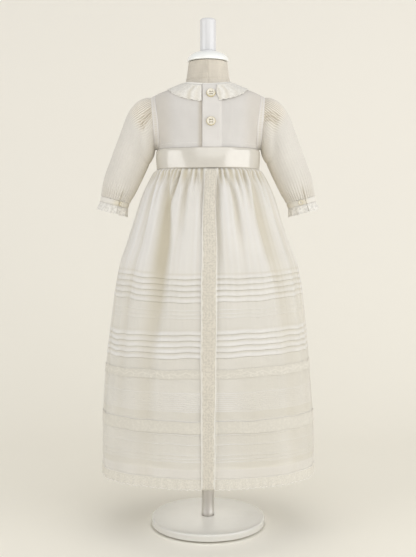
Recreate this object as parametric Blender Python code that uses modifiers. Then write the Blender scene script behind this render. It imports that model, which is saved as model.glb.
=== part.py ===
"""A christening gown on a limbless dress form, back view towards -Y.

The gown's cloth is a set of thin walls. Every wall starts as a grid of points on a smooth
surface, and its inner face is the same grid moved in along the surface's normals. What lies on
a panel, such as the sash, the collar or a lace band, is made from the panel's points moved out.
Lengths are in metres, angles in degrees, +Z is up and +X is the wearer's right.
"""

import math
from collections import namedtuple

import bpy
import bmesh
from mathutils import Vector

# Driving dimensions
SEAM_GAP = 0.0003
LAYER_GAP = 0.0005
PLACKET_GAP = 0.0008
SASH_GAP = 0.0007
COLLAR_GAP = 0.0008
COLLAR_FRONT_EASE = 0.0009
BODICE_WALL = 0.0012
SKIRT_WALL = 0.0015
LINING_WALL = 0.0011
SLEEVE_WALL = 0.0013
TRIM_WALL = 0.0010
SASH_WALL = 0.0012

WAIST = 0.6460
SASH_LOW = 0.6380
SASH_HIGH = 0.6740
SKIRT_HEM = 0.1135
LINING_HEM = 0.1300
LACE_HEM = 0.0950

NECK_SIDE = 0.7895
NECK_DROP_BACK = 0.0065
NECK_DROP_FRONT = 0.0155
BINDING_HEIGHT = 0.0040
BINDING_WALL = 0.0020
BINDING_GAP = 0.0007
BINDING_LIFT = 0.0008

ARMHOLE_CENTRE = 0.7215
ARMHOLE_HALF_HEIGHT = 0.0462
ARMHOLE_HALF_DEPTH = 0.0255
ARMHOLE_STEPS = 8
ARMHOLE_BAND_WALL = 0.0014

OPENING_X = -0.0098
PLACKET_X = 0.0240
UNDERLAP_X = 0.0070
COLLAR_DEPTH = 0.0255

TUCK_COUNT = 5
TUCK_PITCH = 0.0098
TUCK_FOLD = 0.0082
TUCK_RAISE = 0.0012
UPPER_TUCKS = 0.4580
LOWER_TUCKS = 0.3640
UPPER_LACE = (0.2976, 0.2825)
LOWER_LACE = (0.2100, 0.1900)

FORM_FOOT = 0.5150
FORM_TOP = 0.8310
BASE_RADIUS = 0.1020
BASE_HEIGHT = 0.0155
BASE_ROUNDING = 0.0035
POLE_RADIUS = 0.0110
CAP_RADIUS = 0.0370
CAP_EDGE = 0.0022
CAP_TOP = 0.8500
DOME_STEPS = 4
ROD_RADIUS = 0.0145
ROD_TOP = 0.9080
ROD_ROUNDING = 0.0045

# The form's sections, from its foot to the top of its neck
BodyRow = namedtuple("BodyRow", "height half_width front back power")
BODY = (
    BodyRow(0.5150, 0.0770, 0.0560, 0.0560, 2.40),
    BodyRow(0.5210, 0.0870, 0.0640, 0.0640, 2.40),
    BodyRow(0.5350, 0.0930, 0.0690, 0.0690, 2.40),
    BodyRow(0.5600, 0.0960, 0.0710, 0.0710, 2.30),
    BodyRow(0.6000, 0.0890, 0.0676, 0.0676, 2.30),
    BodyRow(0.6400, 0.0855, 0.0660, 0.0655, 2.30),
    BodyRow(0.6760, 0.0850, 0.0660, 0.0640, 2.30),
    BodyRow(0.7000, 0.0880, 0.0650, 0.0620, 2.35),
    BodyRow(0.7250, 0.0915, 0.0620, 0.0600, 2.40),
    BodyRow(0.7500, 0.0940, 0.0560, 0.0560, 2.40),
    BodyRow(0.7620, 0.0935, 0.0520, 0.0530, 2.35),
    BodyRow(0.7680, 0.0915, 0.0500, 0.0510, 2.30),
    BodyRow(0.7775, 0.0705, 0.0460, 0.0475, 2.25),
    BodyRow(0.7880, 0.0460, 0.0422, 0.0430, 2.10),
    BodyRow(0.7900, 0.0425, 0.0408, 0.0415, 2.05),
    BodyRow(0.7940, 0.0400, 0.0395, 0.0398, 2.00),
    BodyRow(0.8050, 0.0378, 0.0378, 0.0378, 2.00),
    BodyRow(0.8310, 0.0345, 0.0345, 0.0345, 2.00),
)

# Ease between the form and the bodice, close at the shoulders and looser at the chest
EaseRow = namedtuple("EaseRow", "height gap")
EASE = (
    EaseRow(0.6000, 0.0018),
    EaseRow(0.7000, 0.0018),
    EaseRow(0.7450, 0.0015),
    EaseRow(0.7620, 0.0014),
    EaseRow(0.7950, 0.0012),
)

# The skirt's outline, with the small rise of its tucks towards the wearer's right
SkirtRow = namedtuple("SkirtRow", "height half_width half_depth power rise")
SKIRT = (
    SkirtRow(0.0950, 0.1920, 0.1140, 2.05, 0.000),
    SkirtRow(0.1580, 0.1912, 0.1135, 2.05, 0.000),
    SkirtRow(0.2440, 0.1865, 0.1130, 2.05, 0.010),
    SkirtRow(0.3310, 0.1795, 0.1125, 2.05, 0.028),
    SkirtRow(0.3950, 0.1722, 0.1125, 2.05, 0.022),
    SkirtRow(0.4600, 0.1612, 0.1118, 2.05, 0.012),
    SkirtRow(0.5030, 0.1480, 0.1070, 2.05, 0.000),
    SkirtRow(0.5470, 0.1330, 0.1000, 2.05, 0.000),
    SkirtRow(0.5900, 0.1190, 0.0915, 2.08, 0.000),
    SkirtRow(0.6110, 0.1100, 0.0860, 2.15, 0.000),
    SkirtRow(0.6290, 0.1005, 0.0795, 2.25, 0.000),
    SkirtRow(0.6340, 0.0970, 0.0765, 2.30, 0.000),
    SkirtRow(0.6376, 0.0902, 0.0706, 2.30, 0.000),
    SkirtRow(0.6460, 0.0899, 0.0703, 2.30, 0.000),
)
LiningRow = namedtuple("LiningRow", "height half_width half_depth power")
LINING = (
    LiningRow(0.1300, 0.1855, 0.1070, 2.05),
    LiningRow(0.2230, 0.1815, 0.1062, 2.05),
    LiningRow(0.3950, 0.1640, 0.1045, 2.05),
    LiningRow(0.5030, 0.1355, 0.0945, 2.05),
    LiningRow(0.5900, 0.1060, 0.0795, 2.15),
    LiningRow(0.6300, 0.0883, 0.0692, 2.30),
    LiningRow(0.6460, 0.0877, 0.0681, 2.30),
)

# The gathers that show, as valleys: angles from the centre back towards +X
Fold = namedtuple("Fold", "top_angle low_angle depth fade_height")
BACK_FOLDS_LEFT = (
    Fold(-79.0, -78.0, 0.0050, 0.380),
    Fold(-66.0, -65.0, 0.0060, 0.440),
    Fold(-54.0, -52.0, 0.0065, 0.400),
    Fold(-43.0, -43.0, 0.0035, 0.480),
    Fold(-32.5, -34.5, 0.0090, 0.320),
    Fold(-21.0, -23.0, 0.0060, 0.420),
    Fold(-12.5, -14.0, 0.0050, 0.400),
)
BACK_FOLDS_RIGHT = (
    Fold(23.0, 19.0, 0.0055, 0.420),
    Fold(34.0, 31.0, 0.0060, 0.400),
    Fold(46.5, 41.0, 0.0080, 0.330),
    Fold(57.0, 54.0, 0.0040, 0.460),
    Fold(67.0, 65.0, 0.0065, 0.400),
    Fold(79.0, 78.0, 0.0050, 0.380),
)
STRIP_FOLD_MARGIN = 4.0
STRIP_FOLD_DEPTH = 0.0050
STRIP_FOLD_FADE = 0.360
FRONT_FOLD_COUNT = 16
FRONT_FOLD_START = 91.0
FRONT_FOLD_DEPTHS = (0.0060, 0.0040, 0.0080, 0.0050, 0.0070, 0.0045, 0.0055)
FRONT_FOLD_FADES = (0.420, 0.360, 0.330, 0.440, 0.390)
FOLD_REST = 0.34
WIDE_GATHER = 14.5

# The lace strip down the centre back
StripRow = namedtuple("StripRow", "height left right")
STRIP = (
    StripRow(0.0950, -0.0125, 0.0115),
    StripRow(0.2000, -0.0125, 0.0118),
    StripRow(0.3300, -0.0140, 0.0135),
    StripRow(0.4500, -0.0127, 0.0150),
    StripRow(0.5600, -0.0110, 0.0165),
    StripRow(0.6460, -0.0075, 0.0168),
)

# The left sleeve's sections, from the armhole to the cuff seam: the outer and inner ends of
# each section in the XZ plane, and its half depth and middle along Y
SleeveRow = namedtuple("SleeveRow", "outer_x outer_z inner_x inner_z half_depth middle_y")
SLEEVE = (
    SleeveRow(0.0998, 0.7673, 0.0938, 0.6762, 0.0243, 0.0000),
    SleeveRow(0.1085, 0.7672, 0.0942, 0.6740, 0.0275, 0.0000),
    SleeveRow(0.1200, 0.7638, 0.0948, 0.6712, 0.0300, 0.0000),
    SleeveRow(0.1330, 0.7540, 0.0955, 0.6682, 0.0318, 0.0005),
    SleeveRow(0.1430, 0.7395, 0.0965, 0.6645, 0.0328, 0.0010),
    SleeveRow(0.1512, 0.7200, 0.0982, 0.6605, 0.0335, 0.0015),
    SleeveRow(0.1595, 0.6970, 0.1018, 0.6535, 0.0338, 0.0020),
    SleeveRow(0.1682, 0.6740, 0.1078, 0.6425, 0.0335, 0.0028),
    SleeveRow(0.1768, 0.6510, 0.1165, 0.6240, 0.0325, 0.0036),
    SleeveRow(0.1845, 0.6300, 0.1255, 0.6060, 0.0312, 0.0044),
    SleeveRow(0.1888, 0.6110, 0.1330, 0.5925, 0.0292, 0.0050),
    SleeveRow(0.1903, 0.5995, 0.1385, 0.5850, 0.0262, 0.0055),
    SleeveRow(0.1918, 0.5922, 0.1415, 0.5790, 0.0242, 0.0058),
)
SLEEVE_COLUMNS = 20
SLEEVE_INNER_ROWS = (0, 2, 4, 6, 9, 11, 12)
CAP_GATHER = 0.0010
CUFF_GATHER = 0.0012
SLEEVE_TROUGH = 0.0030

# Each cuff: side is -1 at the wearer's left, angles run round the cuff from its outer end
CuffPlan = namedtuple("CuffPlan", "name side slit_angle button_angle")
CUFFS = (
    CuffPlan("left", -1, 247.0, 238.0),
    CuffPlan("right", 1, 283.0, 262.0),
)
CUFF_BAND = 0.0100
CUFF_LACE = 0.0150
CUFF_LACE_FLARE = 0.0022
CUFF_COLUMNS = 20
CUFF_LACE_COLUMNS = 24

BUTTON_RADIUS = 0.0080
CUFF_BUTTON_RADIUS = 0.0042
BUTTON_X = 0.0050
BUTTON_HEIGHTS = (0.7667, 0.7184)


def smooth_value(rows, column, height):
    """Read a column of a table at a height, on a smooth curve with no overshoot."""
    places = [row.height for row in rows]
    values = [getattr(row, column) for row in rows]
    if height <= places[0]:
        return values[0]
    if height >= places[-1]:
        return values[-1]
    steps = [b - a for a, b in zip(places, places[1:])]
    slopes = [(b - a) / step for a, b, step in zip(values, values[1:], steps)]
    tangents = [slopes[0]]
    for before, after in zip(slopes, slopes[1:]):
        if before * after <= 0.0:
            tangents.append(0.0)
        else:
            tangents.append(2.0 * before * after / (before + after))
    tangents.append(slopes[-1])
    index = max(i for i, place in enumerate(places[:-1]) if place <= height)
    span = steps[index]
    t = (height - places[index]) / span
    start = (1 + 2 * t) * (1 - t) ** 2 * values[index] + t * (1 - t) ** 2 * span * tangents[index]
    end = t * t * (3 - 2 * t) * values[index + 1] - t * t * (1 - t) * span * tangents[index + 1]
    return start + end


def smooth_step(low, high, value):
    """Rise softly from 0 at low to 1 at high."""
    t = min(max((value - low) / (high - low), 0.0), 1.0)
    return t * t * (3 - 2 * t)


def oval_point(half_width, half_depth, power, angle):
    """A point on a rounded oval, its angle measured from -Y (the centre back) towards +X."""
    across = math.sin(math.radians(angle))
    along = math.cos(math.radians(angle))
    scale = (abs(across) ** power + abs(along) ** power) ** (-1.0 / power)
    return across * scale * half_width, -along * scale * half_depth


def body_point(angle, height):
    """A point on the form's surface."""
    side = "back" if math.cos(math.radians(angle)) > 0.0 else "front"
    half_depth = smooth_value(BODY, side, height)
    half_width = smooth_value(BODY, "half_width", height)
    power = smooth_value(BODY, "power", height)
    x, y = oval_point(half_width, half_depth, power, angle)
    return Vector((x, y, height))


def body_normal(angle, height):
    """The outward normal of the form's surface."""
    turn, lift = 0.5, 0.0004
    around = body_point(angle + turn, height) - body_point(angle - turn, height)
    upward = body_point(angle, height + lift) - body_point(angle, height - lift)
    return around.cross(upward).normalized()


def over_body(angle, height, offset):
    """A point that lies the given distance outside the form's surface."""
    return body_point(angle, height) + offset * body_normal(angle, height)


def bodice_ease(height):
    return smooth_value(EASE, "gap", height)


def neckline(angle):
    """Height of the neck seam, lower at the back and lower still at the front."""
    along = math.cos(math.radians(angle))
    drop = NECK_DROP_BACK if along > 0.0 else NECK_DROP_FRONT
    return NECK_SIDE - drop * along * along


def solve_angle(coordinate, target, low, high):
    """Angle between low and high at which a rising coordinate reaches its target."""
    for _ in range(50):
        middle = 0.5 * (low + high)
        if coordinate(middle) < target:
            low = middle
        else:
            high = middle
    return 0.5 * (low + high)


def angle_at_x(x, height):
    """Back angle at which the form's surface is at this x."""
    return solve_angle(lambda angle: body_point(angle, height).x, x, -89.9, 89.9)


def angle_at_depth(depth, height, front):
    """Angle on the +X side at which the surface is this far from the side line."""
    if front:
        return solve_angle(lambda angle: body_point(angle, height).y, depth, 90.0, 179.9)
    return solve_angle(lambda angle: body_point(angle, height).y, -depth, 0.1, 90.0)


def grid_normals(grid, closed):
    """Outward or inward normals of a grid of points, from its neighbouring points."""
    normals = []
    last_row = len(grid) - 1
    for i, row in enumerate(grid):
        count = len(row)
        line = []
        for j in range(count):
            if closed:
                ahead, behind = row[(j + 1) % count], row[j - 1]
            else:
                ahead, behind = row[min(j + 1, count - 1)], row[max(j - 1, 0)]
            below = grid[min(i + 1, last_row)][j] - grid[max(i - 1, 0)][j]
            line.append((ahead - behind).cross(below).normalized())
        normals.append(line)
    return normals


def moved_grid(grid, normals, distance):
    return [[point + distance * normal for point, normal in zip(row, line)]
            for row, line in zip(grid, normals)]


def new_object(name, mesh, collection, look):
    """Put a mesh in the gown's collection with a Principled BSDF material of its own."""
    obj = bpy.data.objects.new(name, mesh)
    collection.objects.link(obj)
    give_look(obj, look)
    return obj


def give_look(obj, look):
    color, roughness, metallic = look
    material = bpy.data.materials.new(obj.name + "_finish")
    material.use_nodes = True
    shader = material.node_tree.nodes["Principled BSDF"]
    shader.inputs["Base Color"].default_value = (*color, 1.0)
    shader.inputs["Roughness"].default_value = roughness
    shader.inputs["Metallic"].default_value = metallic
    obj.data.materials.clear()
    obj.data.materials.append(material)


def finish_mesh(name, bm, collection, look, sharp_angle=50.0):
    """Turn a closed bmesh into a smooth-shaded object whose faces point out."""
    bmesh.ops.recalc_face_normals(bm, faces=bm.faces)
    mesh = bpy.data.meshes.new(name)
    bm.to_mesh(mesh)
    bm.free()
    mesh.shade_smooth()
    mesh.set_sharp_from_angle(angle=math.radians(sharp_angle))
    return new_object(name, mesh, collection, look)


def add_grid(bm, grid):
    return [[bm.verts.new(point) for point in row] for row in grid]


def bridge(bm, first, second, closed):
    """Faces between two rows of vertices."""
    count = len(first)
    for j in range(count if closed else count - 1):
        k = (j + 1) % count
        bm.faces.new((first[j], first[k], second[k], second[j]))


def tube_wall(name, outer, inner, collection, look):
    """A wall open at both ends, from outer and inner rings that share their end rows."""
    bm = bmesh.new()
    outside = add_grid(bm, outer)
    inside = add_grid(bm, inner)
    for rings in (outside, inside):
        for first, second in zip(rings, rings[1:]):
            bridge(bm, first, second, True)
    bridge(bm, outside[0], inside[0], True)
    bridge(bm, outside[-1], inside[-1], True)
    return finish_mesh(name, bm, collection, look)


def sheet_wall(name, outer, inner, collection, look):
    """A wall with four edges, from an outer and an inner grid of the same size."""
    bm = bmesh.new()
    outside = add_grid(bm, outer)
    inside = add_grid(bm, inner)
    for rows in (outside, inside):
        for first, second in zip(rows, rows[1:]):
            bridge(bm, first, second, False)
    for row in (0, -1):
        bridge(bm, outside[row], inside[row], False)
    for column in (0, -1):
        bridge(bm, [row[column] for row in outside], [row[column] for row in inside], False)
    return finish_mesh(name, bm, collection, look)


def turned(name, profile, steps, collection, look):
    """A turned solid, from a profile that runs from its top down its outer side."""
    mesh = bpy.data.meshes.new(name)
    edges = [(i, i + 1) for i in range(len(profile) - 1)]
    mesh.from_pydata([(radius, 0.0, height) for radius, height in profile], edges, [])
    obj = new_object(name, mesh, collection, look)
    screw = obj.modifiers.new("Turning", "SCREW")
    screw.axis = "Z"
    screw.steps = steps
    screw.render_steps = steps
    screw.use_merge_vertices = True
    screw.merge_threshold = 0.00005
    screw.use_smooth_shade = True
    return obj


# Looks of the materials: colour, roughness, metallic
COTTON = ((0.80, 0.77, 0.70), 0.75, 0.0)
ORGANZA = ((0.82, 0.79, 0.72), 0.60, 0.0)
LACE = ((0.76, 0.72, 0.62), 0.80, 0.0)
SATIN = ((0.86, 0.82, 0.72), 0.32, 0.0)
PEARL = ((0.83, 0.78, 0.66), 0.25, 0.0)
LINEN = ((0.66, 0.61, 0.52), 0.85, 0.0)
WHITE_LACQUER = ((0.80, 0.79, 0.77), 0.35, 0.0)
POLE_STEEL = ((0.62, 0.59, 0.55), 0.38, 0.6)


def armhole_half_depth(height):
    """Half the armhole's depth at a height, 0 above and below it."""
    lift = (height - ARMHOLE_CENTRE) / ARMHOLE_HALF_HEIGHT
    return ARMHOLE_HALF_DEPTH * math.sqrt(max(1.0 - lift * lift, 0.0))


def armhole_heights():
    """Heights of the bodice's rows beside the armhole, even steps round its oval."""
    turns = [math.pi * k / ARMHOLE_STEPS for k in range(ARMHOLE_STEPS + 1)]
    return [ARMHOLE_CENTRE - ARMHOLE_HALF_HEIGHT * math.cos(turn) for turn in turns]


BODICE_HEIGHTS = (WAIST + 0.0005, *armhole_heights())
BODICE_TOP_FRACTIONS = (0.4, 1.0)


def bodice_row_height(row, angle):
    """Height of a bodice row, level up to the armhole's top and then bent to the neckline."""
    if row < len(BODICE_HEIGHTS):
        return BODICE_HEIGHTS[row]
    fraction = BODICE_TOP_FRACTIONS[row - len(BODICE_HEIGHTS)]
    return BODICE_HEIGHTS[-1] + fraction * (neckline(angle) - BODICE_HEIGHTS[-1])


def bodice_rows():
    return range(len(BODICE_HEIGHTS) + len(BODICE_TOP_FRACTIONS))


def side_edge(row, front):
    """Angle of a panel's side edge: side seam, armhole, then shoulder seam, on the +X side."""
    height = bodice_row_height(row, 90.0)
    depth = max(armhole_half_depth(height), SEAM_GAP)
    return angle_at_depth(depth, height, front)


def bodice_grid(row_edges, columns, extra):
    """Grid over the form between each row's two edge angles, the given distance further out."""
    grid = []
    for row in bodice_rows():
        first, last = row_edges(row)
        line = []
        for j in range(columns + 1):
            angle = first + (last - first) * j / columns
            height = bodice_row_height(row, angle)
            line.append(over_body(angle, height, bodice_ease(height) + extra))
        grid.append(line)
    return grid


def bodice_panel(name, row_edges, columns, low, high, collection, look):
    inner = bodice_grid(row_edges, columns, low)
    outer = bodice_grid(row_edges, columns, high)
    return sheet_wall(name, outer, inner, collection, look)


def build_bodice(collection):
    def left_back(row):
        centre = angle_at_x(UNDERLAP_X, bodice_row_height(row, 0.0))
        return -side_edge(row, False), centre

    def right_back(row):
        centre = angle_at_x(UNDERLAP_X + 2 * SEAM_GAP, bodice_row_height(row, 0.0))
        return centre, side_edge(row, False)

    def front(row):
        edge = side_edge(row, True)
        return edge, 360.0 - edge

    def placket(row):
        height = bodice_row_height(row, 0.0)
        return angle_at_x(OPENING_X, height), angle_at_x(PLACKET_X, height)

    bodice_panel("bodice_back_left", left_back, 6, 0.0, BODICE_WALL, collection, COTTON)
    bodice_panel("bodice_back_right", right_back, 6, 0.0, BODICE_WALL, collection, COTTON)
    bodice_panel("bodice_front", front, 12, 0.0, BODICE_WALL, collection, COTTON)
    low = BODICE_WALL + PLACKET_GAP
    bodice_panel("button_placket", placket, 4, low, low + TRIM_WALL, collection, COTTON)


def meridian_height(angle, reach):
    """Height on the bodice at this distance down the surface from the neckline."""
    step = 0.0005
    height = neckline(angle)
    point = body_point(angle, height)
    travelled = 0.0
    while travelled < reach:
        height -= step
        following = body_point(angle, height)
        travelled += (following - point).length
        point = following
    return height + step * (travelled - reach) / max(travelled, step)


def collar_grid(angles, row_reach, rest, thick, ruffle):
    """Grid over the shoulders; angles(reach) gives a row's columns, ruffle its small waves."""
    grid = []
    for reach in row_reach:
        line = []
        for angle in angles(reach):
            height = meridian_height(angle, reach)
            wave = ruffle(angle) * reach / COLLAR_DEPTH
            offset = rest(angle) + thick + wave
            line.append(over_body(angle, height, bodice_ease(height) + offset))
        grid.append(line)
    return grid


def build_collar(collection):
    """Two halves that meet at the front, each gathered near its back end."""
    columns = 20
    reaches = (0.0016, 0.0120, 0.0230, COLLAR_DEPTH)
    front_gap = 0.4

    def rest(angle):
        """How far out the collar lies: over the placket near its right end, else the bodice."""
        step = (PLACKET_GAP + TRIM_WALL) * (1.0 - smooth_step(38.0, 60.0, angle))
        front = COLLAR_FRONT_EASE * smooth_step(60.0, 110.0, abs(angle))
        return BODICE_WALL + COLLAR_GAP + front + (step if angle > 0.0 else 0.0)

    def end_x(side, reach):
        if side < 0:
            return OPENING_X - 0.0012
        corner = 0.0040 * smooth_step(0.018, COLLAR_DEPTH, reach)
        return 0.0152 - 0.0012 * reach / COLLAR_DEPTH + corner

    for name, side in (("left", -1), ("right", 1)):
        def angles(reach, side=side):
            height = meridian_height(0.0, reach)
            start = angle_at_x(end_x(side, reach), height)
            stop = side * (180.0 - front_gap)
            return [start + (stop - start) * (j / columns) ** 1.15 for j in range(columns + 1)]

        def ruffle(angle, side=side):
            fade = 1.0 - smooth_step(20.0, 70.0, abs(angle))
            return 0.0008 * (1.0 + math.cos(math.radians(angle * 26.0))) * (0.25 + 0.75 * fade)

        inner = collar_grid(angles, reaches, rest, 0.0, ruffle)
        outer = collar_grid(angles, reaches, rest, TRIM_WALL, ruffle)
        sheet_wall("collar_" + name, outer, inner, collection, LACE)


def build_neck_binding(collection):
    """A band that stands on the neck seam, open at the back where the bodice opens."""
    columns = 28
    start = angle_at_x(OPENING_X, NECK_SIDE - NECK_DROP_BACK) + 0.3
    stop = start + 360.0 - 0.6

    def grid(offset):
        rows = []
        for lift in (BINDING_LIFT, BINDING_HEIGHT):
            line = []
            for j in range(columns + 1):
                angle = start + (stop - start) * j / columns
                line.append(over_body(angle, neckline(angle) + lift, offset))
            rows.append(line)
        return rows

    outer, inner = grid(BINDING_GAP + BINDING_WALL), grid(BINDING_GAP)
    sheet_wall("neck_binding", outer, inner, collection, COTTON)


def armhole_ring(side, shrink, offset):
    """Points on the bodice along the armhole's edge, level with the bodice's rows."""
    ring = []
    for j in range(2 * ARMHOLE_STEPS):
        turn = math.pi * j / ARMHOLE_STEPS
        height = ARMHOLE_CENTRE + (ARMHOLE_HALF_HEIGHT - shrink) * math.cos(turn)
        depth = (ARMHOLE_HALF_DEPTH - shrink) * math.sin(turn)
        angle = angle_at_depth(abs(depth), height, depth > 0.0)
        ring.append(over_body(side * angle, height, bodice_ease(height) + offset))
    return ring


def sleeve_section(row, side, thin, bulge):
    """A ring of one sleeve section; thin moves it in, bulge(angle) moves each point out."""
    outer = Vector((side * row.outer_x, row.middle_y, row.outer_z))
    inner = Vector((side * row.inner_x, row.middle_y, row.inner_z))
    middle = 0.5 * (outer + inner)
    across = outer - inner
    half_width = 0.5 * across.length
    across.normalize()
    ring = []
    for j in range(SLEEVE_COLUMNS):
        angle = 360.0 * j / SLEEVE_COLUMNS
        grow = bulge(j, angle) - thin
        out = math.cos(math.radians(angle)) * (half_width + grow)
        along = math.sin(math.radians(angle)) * (row.half_depth + grow)
        ring.append(middle + out * across + Vector((0.0, along, 0.0)))
    return ring


def build_sleeve(name, side, collection):
    """A puffed tube with gathers at its cap and above the cuff, and one slanting trough."""
    last = len(SLEEVE) - 1

    def bulge_at(index):
        cap = CAP_GATHER * (1.0 - smooth_step(0.0, 3.5, index)) * smooth_step(0.0, 1.0, index)
        cuff = CUFF_GATHER * smooth_step(last - 3.5, last - 1.0, index)
        trough = SLEEVE_TROUGH * smooth_step(1.0, 3.0, index) * smooth_step(7.0, 5.0, index)

        def bulge(column, angle):
            wave = (cap + cuff) * (1 if column % 2 else -1)
            centre = 262.0 - 9.0 * (index - 4)
            away = (angle - centre) / 16.0
            return wave - trough * math.exp(-away * away)
        return bulge

    outer = [sleeve_section(row, side, 0.0, bulge_at(i)) for i, row in enumerate(SLEEVE)]
    inner = [sleeve_section(SLEEVE[i], side, SLEEVE_WALL, bulge_at(i)) for i in SLEEVE_INNER_ROWS]
    tube_wall("sleeve_" + name, outer, inner, collection, COTTON)


def build_armhole_band(name, side, collection):
    """The corded strip between the bodice and the sleeve."""
    first = SLEEVE[0]
    middle_x = 0.5 * (first.outer_x + first.inner_x) - SEAM_GAP
    middle_z = 0.5 * (first.outer_z + first.inner_z)
    half_height = 0.5 * (first.outer_z - first.inner_z)
    lean = (first.outer_x - first.inner_x) / (first.outer_z - first.inner_z)

    def sleeve_side(thin):
        ring = []
        for j in range(2 * ARMHOLE_STEPS):
            turn = math.pi * j / ARMHOLE_STEPS
            lift = (half_height - thin) * math.cos(turn)
            depth = (first.half_depth - thin) * math.sin(turn)
            ring.append(Vector((side * (middle_x + lean * lift), depth, middle_z + lift)))
        return ring

    shrink = 1.5 * SEAM_GAP
    outer = [armhole_ring(side, shrink, ARMHOLE_BAND_WALL), sleeve_side(0.0)]
    inner = [armhole_ring(side, shrink, 0.0), sleeve_side(ARMHOLE_BAND_WALL)]
    tube_wall("armhole_band_" + name, outer, inner, collection, COTTON)


def cuff_frame(side):
    """Middle, outward direction, way down the arm and half width at the cuff seam."""
    row = SLEEVE[-1]
    outer = Vector((side * row.outer_x, row.middle_y, row.outer_z))
    inner = Vector((side * row.inner_x, row.middle_y, row.inner_z))
    across = outer - inner
    half_width = 0.5 * across.length
    across.normalize()
    down = Vector((side * across.z, 0.0, -abs(across.x)))
    return 0.5 * (outer + inner), across, down, half_width


def cuff_grid(side, slit_angle, half_slit, columns, depths, flare, thin, wave):
    """Grid round a cuff from one side of its slit to the other."""
    middle, across, down, half_width = cuff_frame(side)
    half_depth = SLEEVE[-1].half_depth
    grid = []
    for depth, widen, opening in depths:
        line = []
        for j in range(columns + 1):
            angle = slit_angle + opening + (360.0 - 2 * opening) * j / columns
            grow = widen * flare - thin + widen * wave * (1 if j % 2 else -1)
            out = math.cos(math.radians(angle)) * (half_width + grow)
            along = math.sin(math.radians(angle)) * (half_depth + grow)
            line.append(middle + depth * down + out * across + Vector((0.0, along, 0.0)))
        grid.append(line)
    return grid


def build_cuff(plan, collection):
    """A band slit at the back, the lace below it and the button that closes it."""
    slit = 1.0
    band_rows = ((SEAM_GAP, 0.0, slit), (CUFF_BAND, 0.0, slit))

    def band(thin):
        return cuff_grid(plan.side, plan.slit_angle, slit, CUFF_COLUMNS, band_rows, 0.0, thin, 0.0)

    sheet_wall("cuff_" + plan.name, band(0.0), band(0.0014), collection, COTTON)
    top = CUFF_BAND + SEAM_GAP
    lace_rows = (
        (top, 0.0, slit),
        (top + 0.5 * CUFF_LACE, 0.5, 2.0 * slit),
        (top + CUFF_LACE, 1.0, 4.5 * slit),
    )

    def lace(thin):
        return cuff_grid(plan.side, plan.slit_angle, slit, CUFF_LACE_COLUMNS, lace_rows,
                         CUFF_LACE_FLARE, thin, 0.0012)

    sheet_wall("cuff_lace_" + plan.name, lace(0.0), lace(TRIM_WALL), collection, LACE)
    middle, across, down, half_width = cuff_frame(plan.side)
    turn = math.radians(plan.button_angle)
    half_depth = SLEEVE[-1].half_depth
    spot = middle + 0.5 * CUFF_BAND * down
    spot += math.cos(turn) * half_width * across + Vector((0.0, math.sin(turn) * half_depth, 0.0))
    normal = math.cos(turn) / half_width * across + Vector((0.0, math.sin(turn) / half_depth, 0.0))
    add_button("cuff_button_" + plan.name, CUFF_BUTTON_RADIUS, spot, normal, collection)


def add_button(name, radius, spot, normal, collection):
    """A turned pearl button with a raised rim, seated just off the cloth."""
    thick = 0.40 * radius
    profile = (
        (0.0, 0.62 * thick),
        (0.55 * radius, 0.66 * thick),
        (0.72 * radius, thick),
        (0.90 * radius, 0.95 * thick),
        (radius, 0.55 * thick),
        (0.86 * radius, 0.0),
        (0.0, 0.0),
    )
    obj = turned(name, profile, 10, collection, PEARL)
    obj.location = spot + (SEAM_GAP + 0.0002) * normal.normalized()
    obj.rotation_mode = "QUATERNION"
    obj.rotation_quaternion = normal.to_track_quat("Z", "Y")


def build_back_buttons(collection):
    for number, height in enumerate(BUTTON_HEIGHTS, start=1):
        angle = angle_at_x(BUTTON_X, height)
        offset = bodice_ease(height) + BODICE_WALL + PLACKET_GAP + TRIM_WALL
        spot = over_body(angle, height, offset)
        normal = body_normal(angle, height)
        add_button("back_button_" + str(number), BUTTON_RADIUS, spot, normal, collection)


def build_sash(collection):
    """A plain satin band over the bodice and the skirt's seam."""
    columns = 48
    clearance = bodice_ease(SASH_LOW) + BODICE_WALL + PLACKET_GAP + TRIM_WALL + SASH_GAP

    def rings(offset):
        return [[over_body(360.0 * j / columns, height, offset) for j in range(columns)]
                for height in (SASH_HIGH, SASH_LOW)]

    tube_wall("sash", rings(clearance + SASH_WALL), rings(clearance), collection, SATIN)


def front_folds():
    """Gathers on the hidden front, like those that show at the back."""
    spacing = (360.0 - 2 * FRONT_FOLD_START) / (FRONT_FOLD_COUNT - 1)
    folds = []
    for k in range(FRONT_FOLD_COUNT):
        angle = FRONT_FOLD_START + spacing * k
        depth = FRONT_FOLD_DEPTHS[k % len(FRONT_FOLD_DEPTHS)]
        fade = FRONT_FOLD_FADES[k % len(FRONT_FOLD_FADES)]
        folds.append(Fold(angle, angle, depth, fade))
    return folds


def fold_now(fold, height):
    """Angle and drop of a gather at a height."""
    run = smooth_step(WAIST, 0.30, height)
    angle = fold.top_angle + (fold.low_angle - fold.top_angle) * run
    rise = smooth_step(0.6390, 0.6120, height)
    fade = smooth_step(0.56, fold.fade_height, height)
    return angle, fold.depth * rise * (FOLD_REST + (1.0 - FOLD_REST) * (1.0 - fade))


def strip_angle(column, height):
    """Angle of an edge of the lace strip on the skirt."""
    x = smooth_value(STRIP, column, height)
    return math.degrees(math.asin(x / smooth_value(SKIRT, "half_width", height)))


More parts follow.
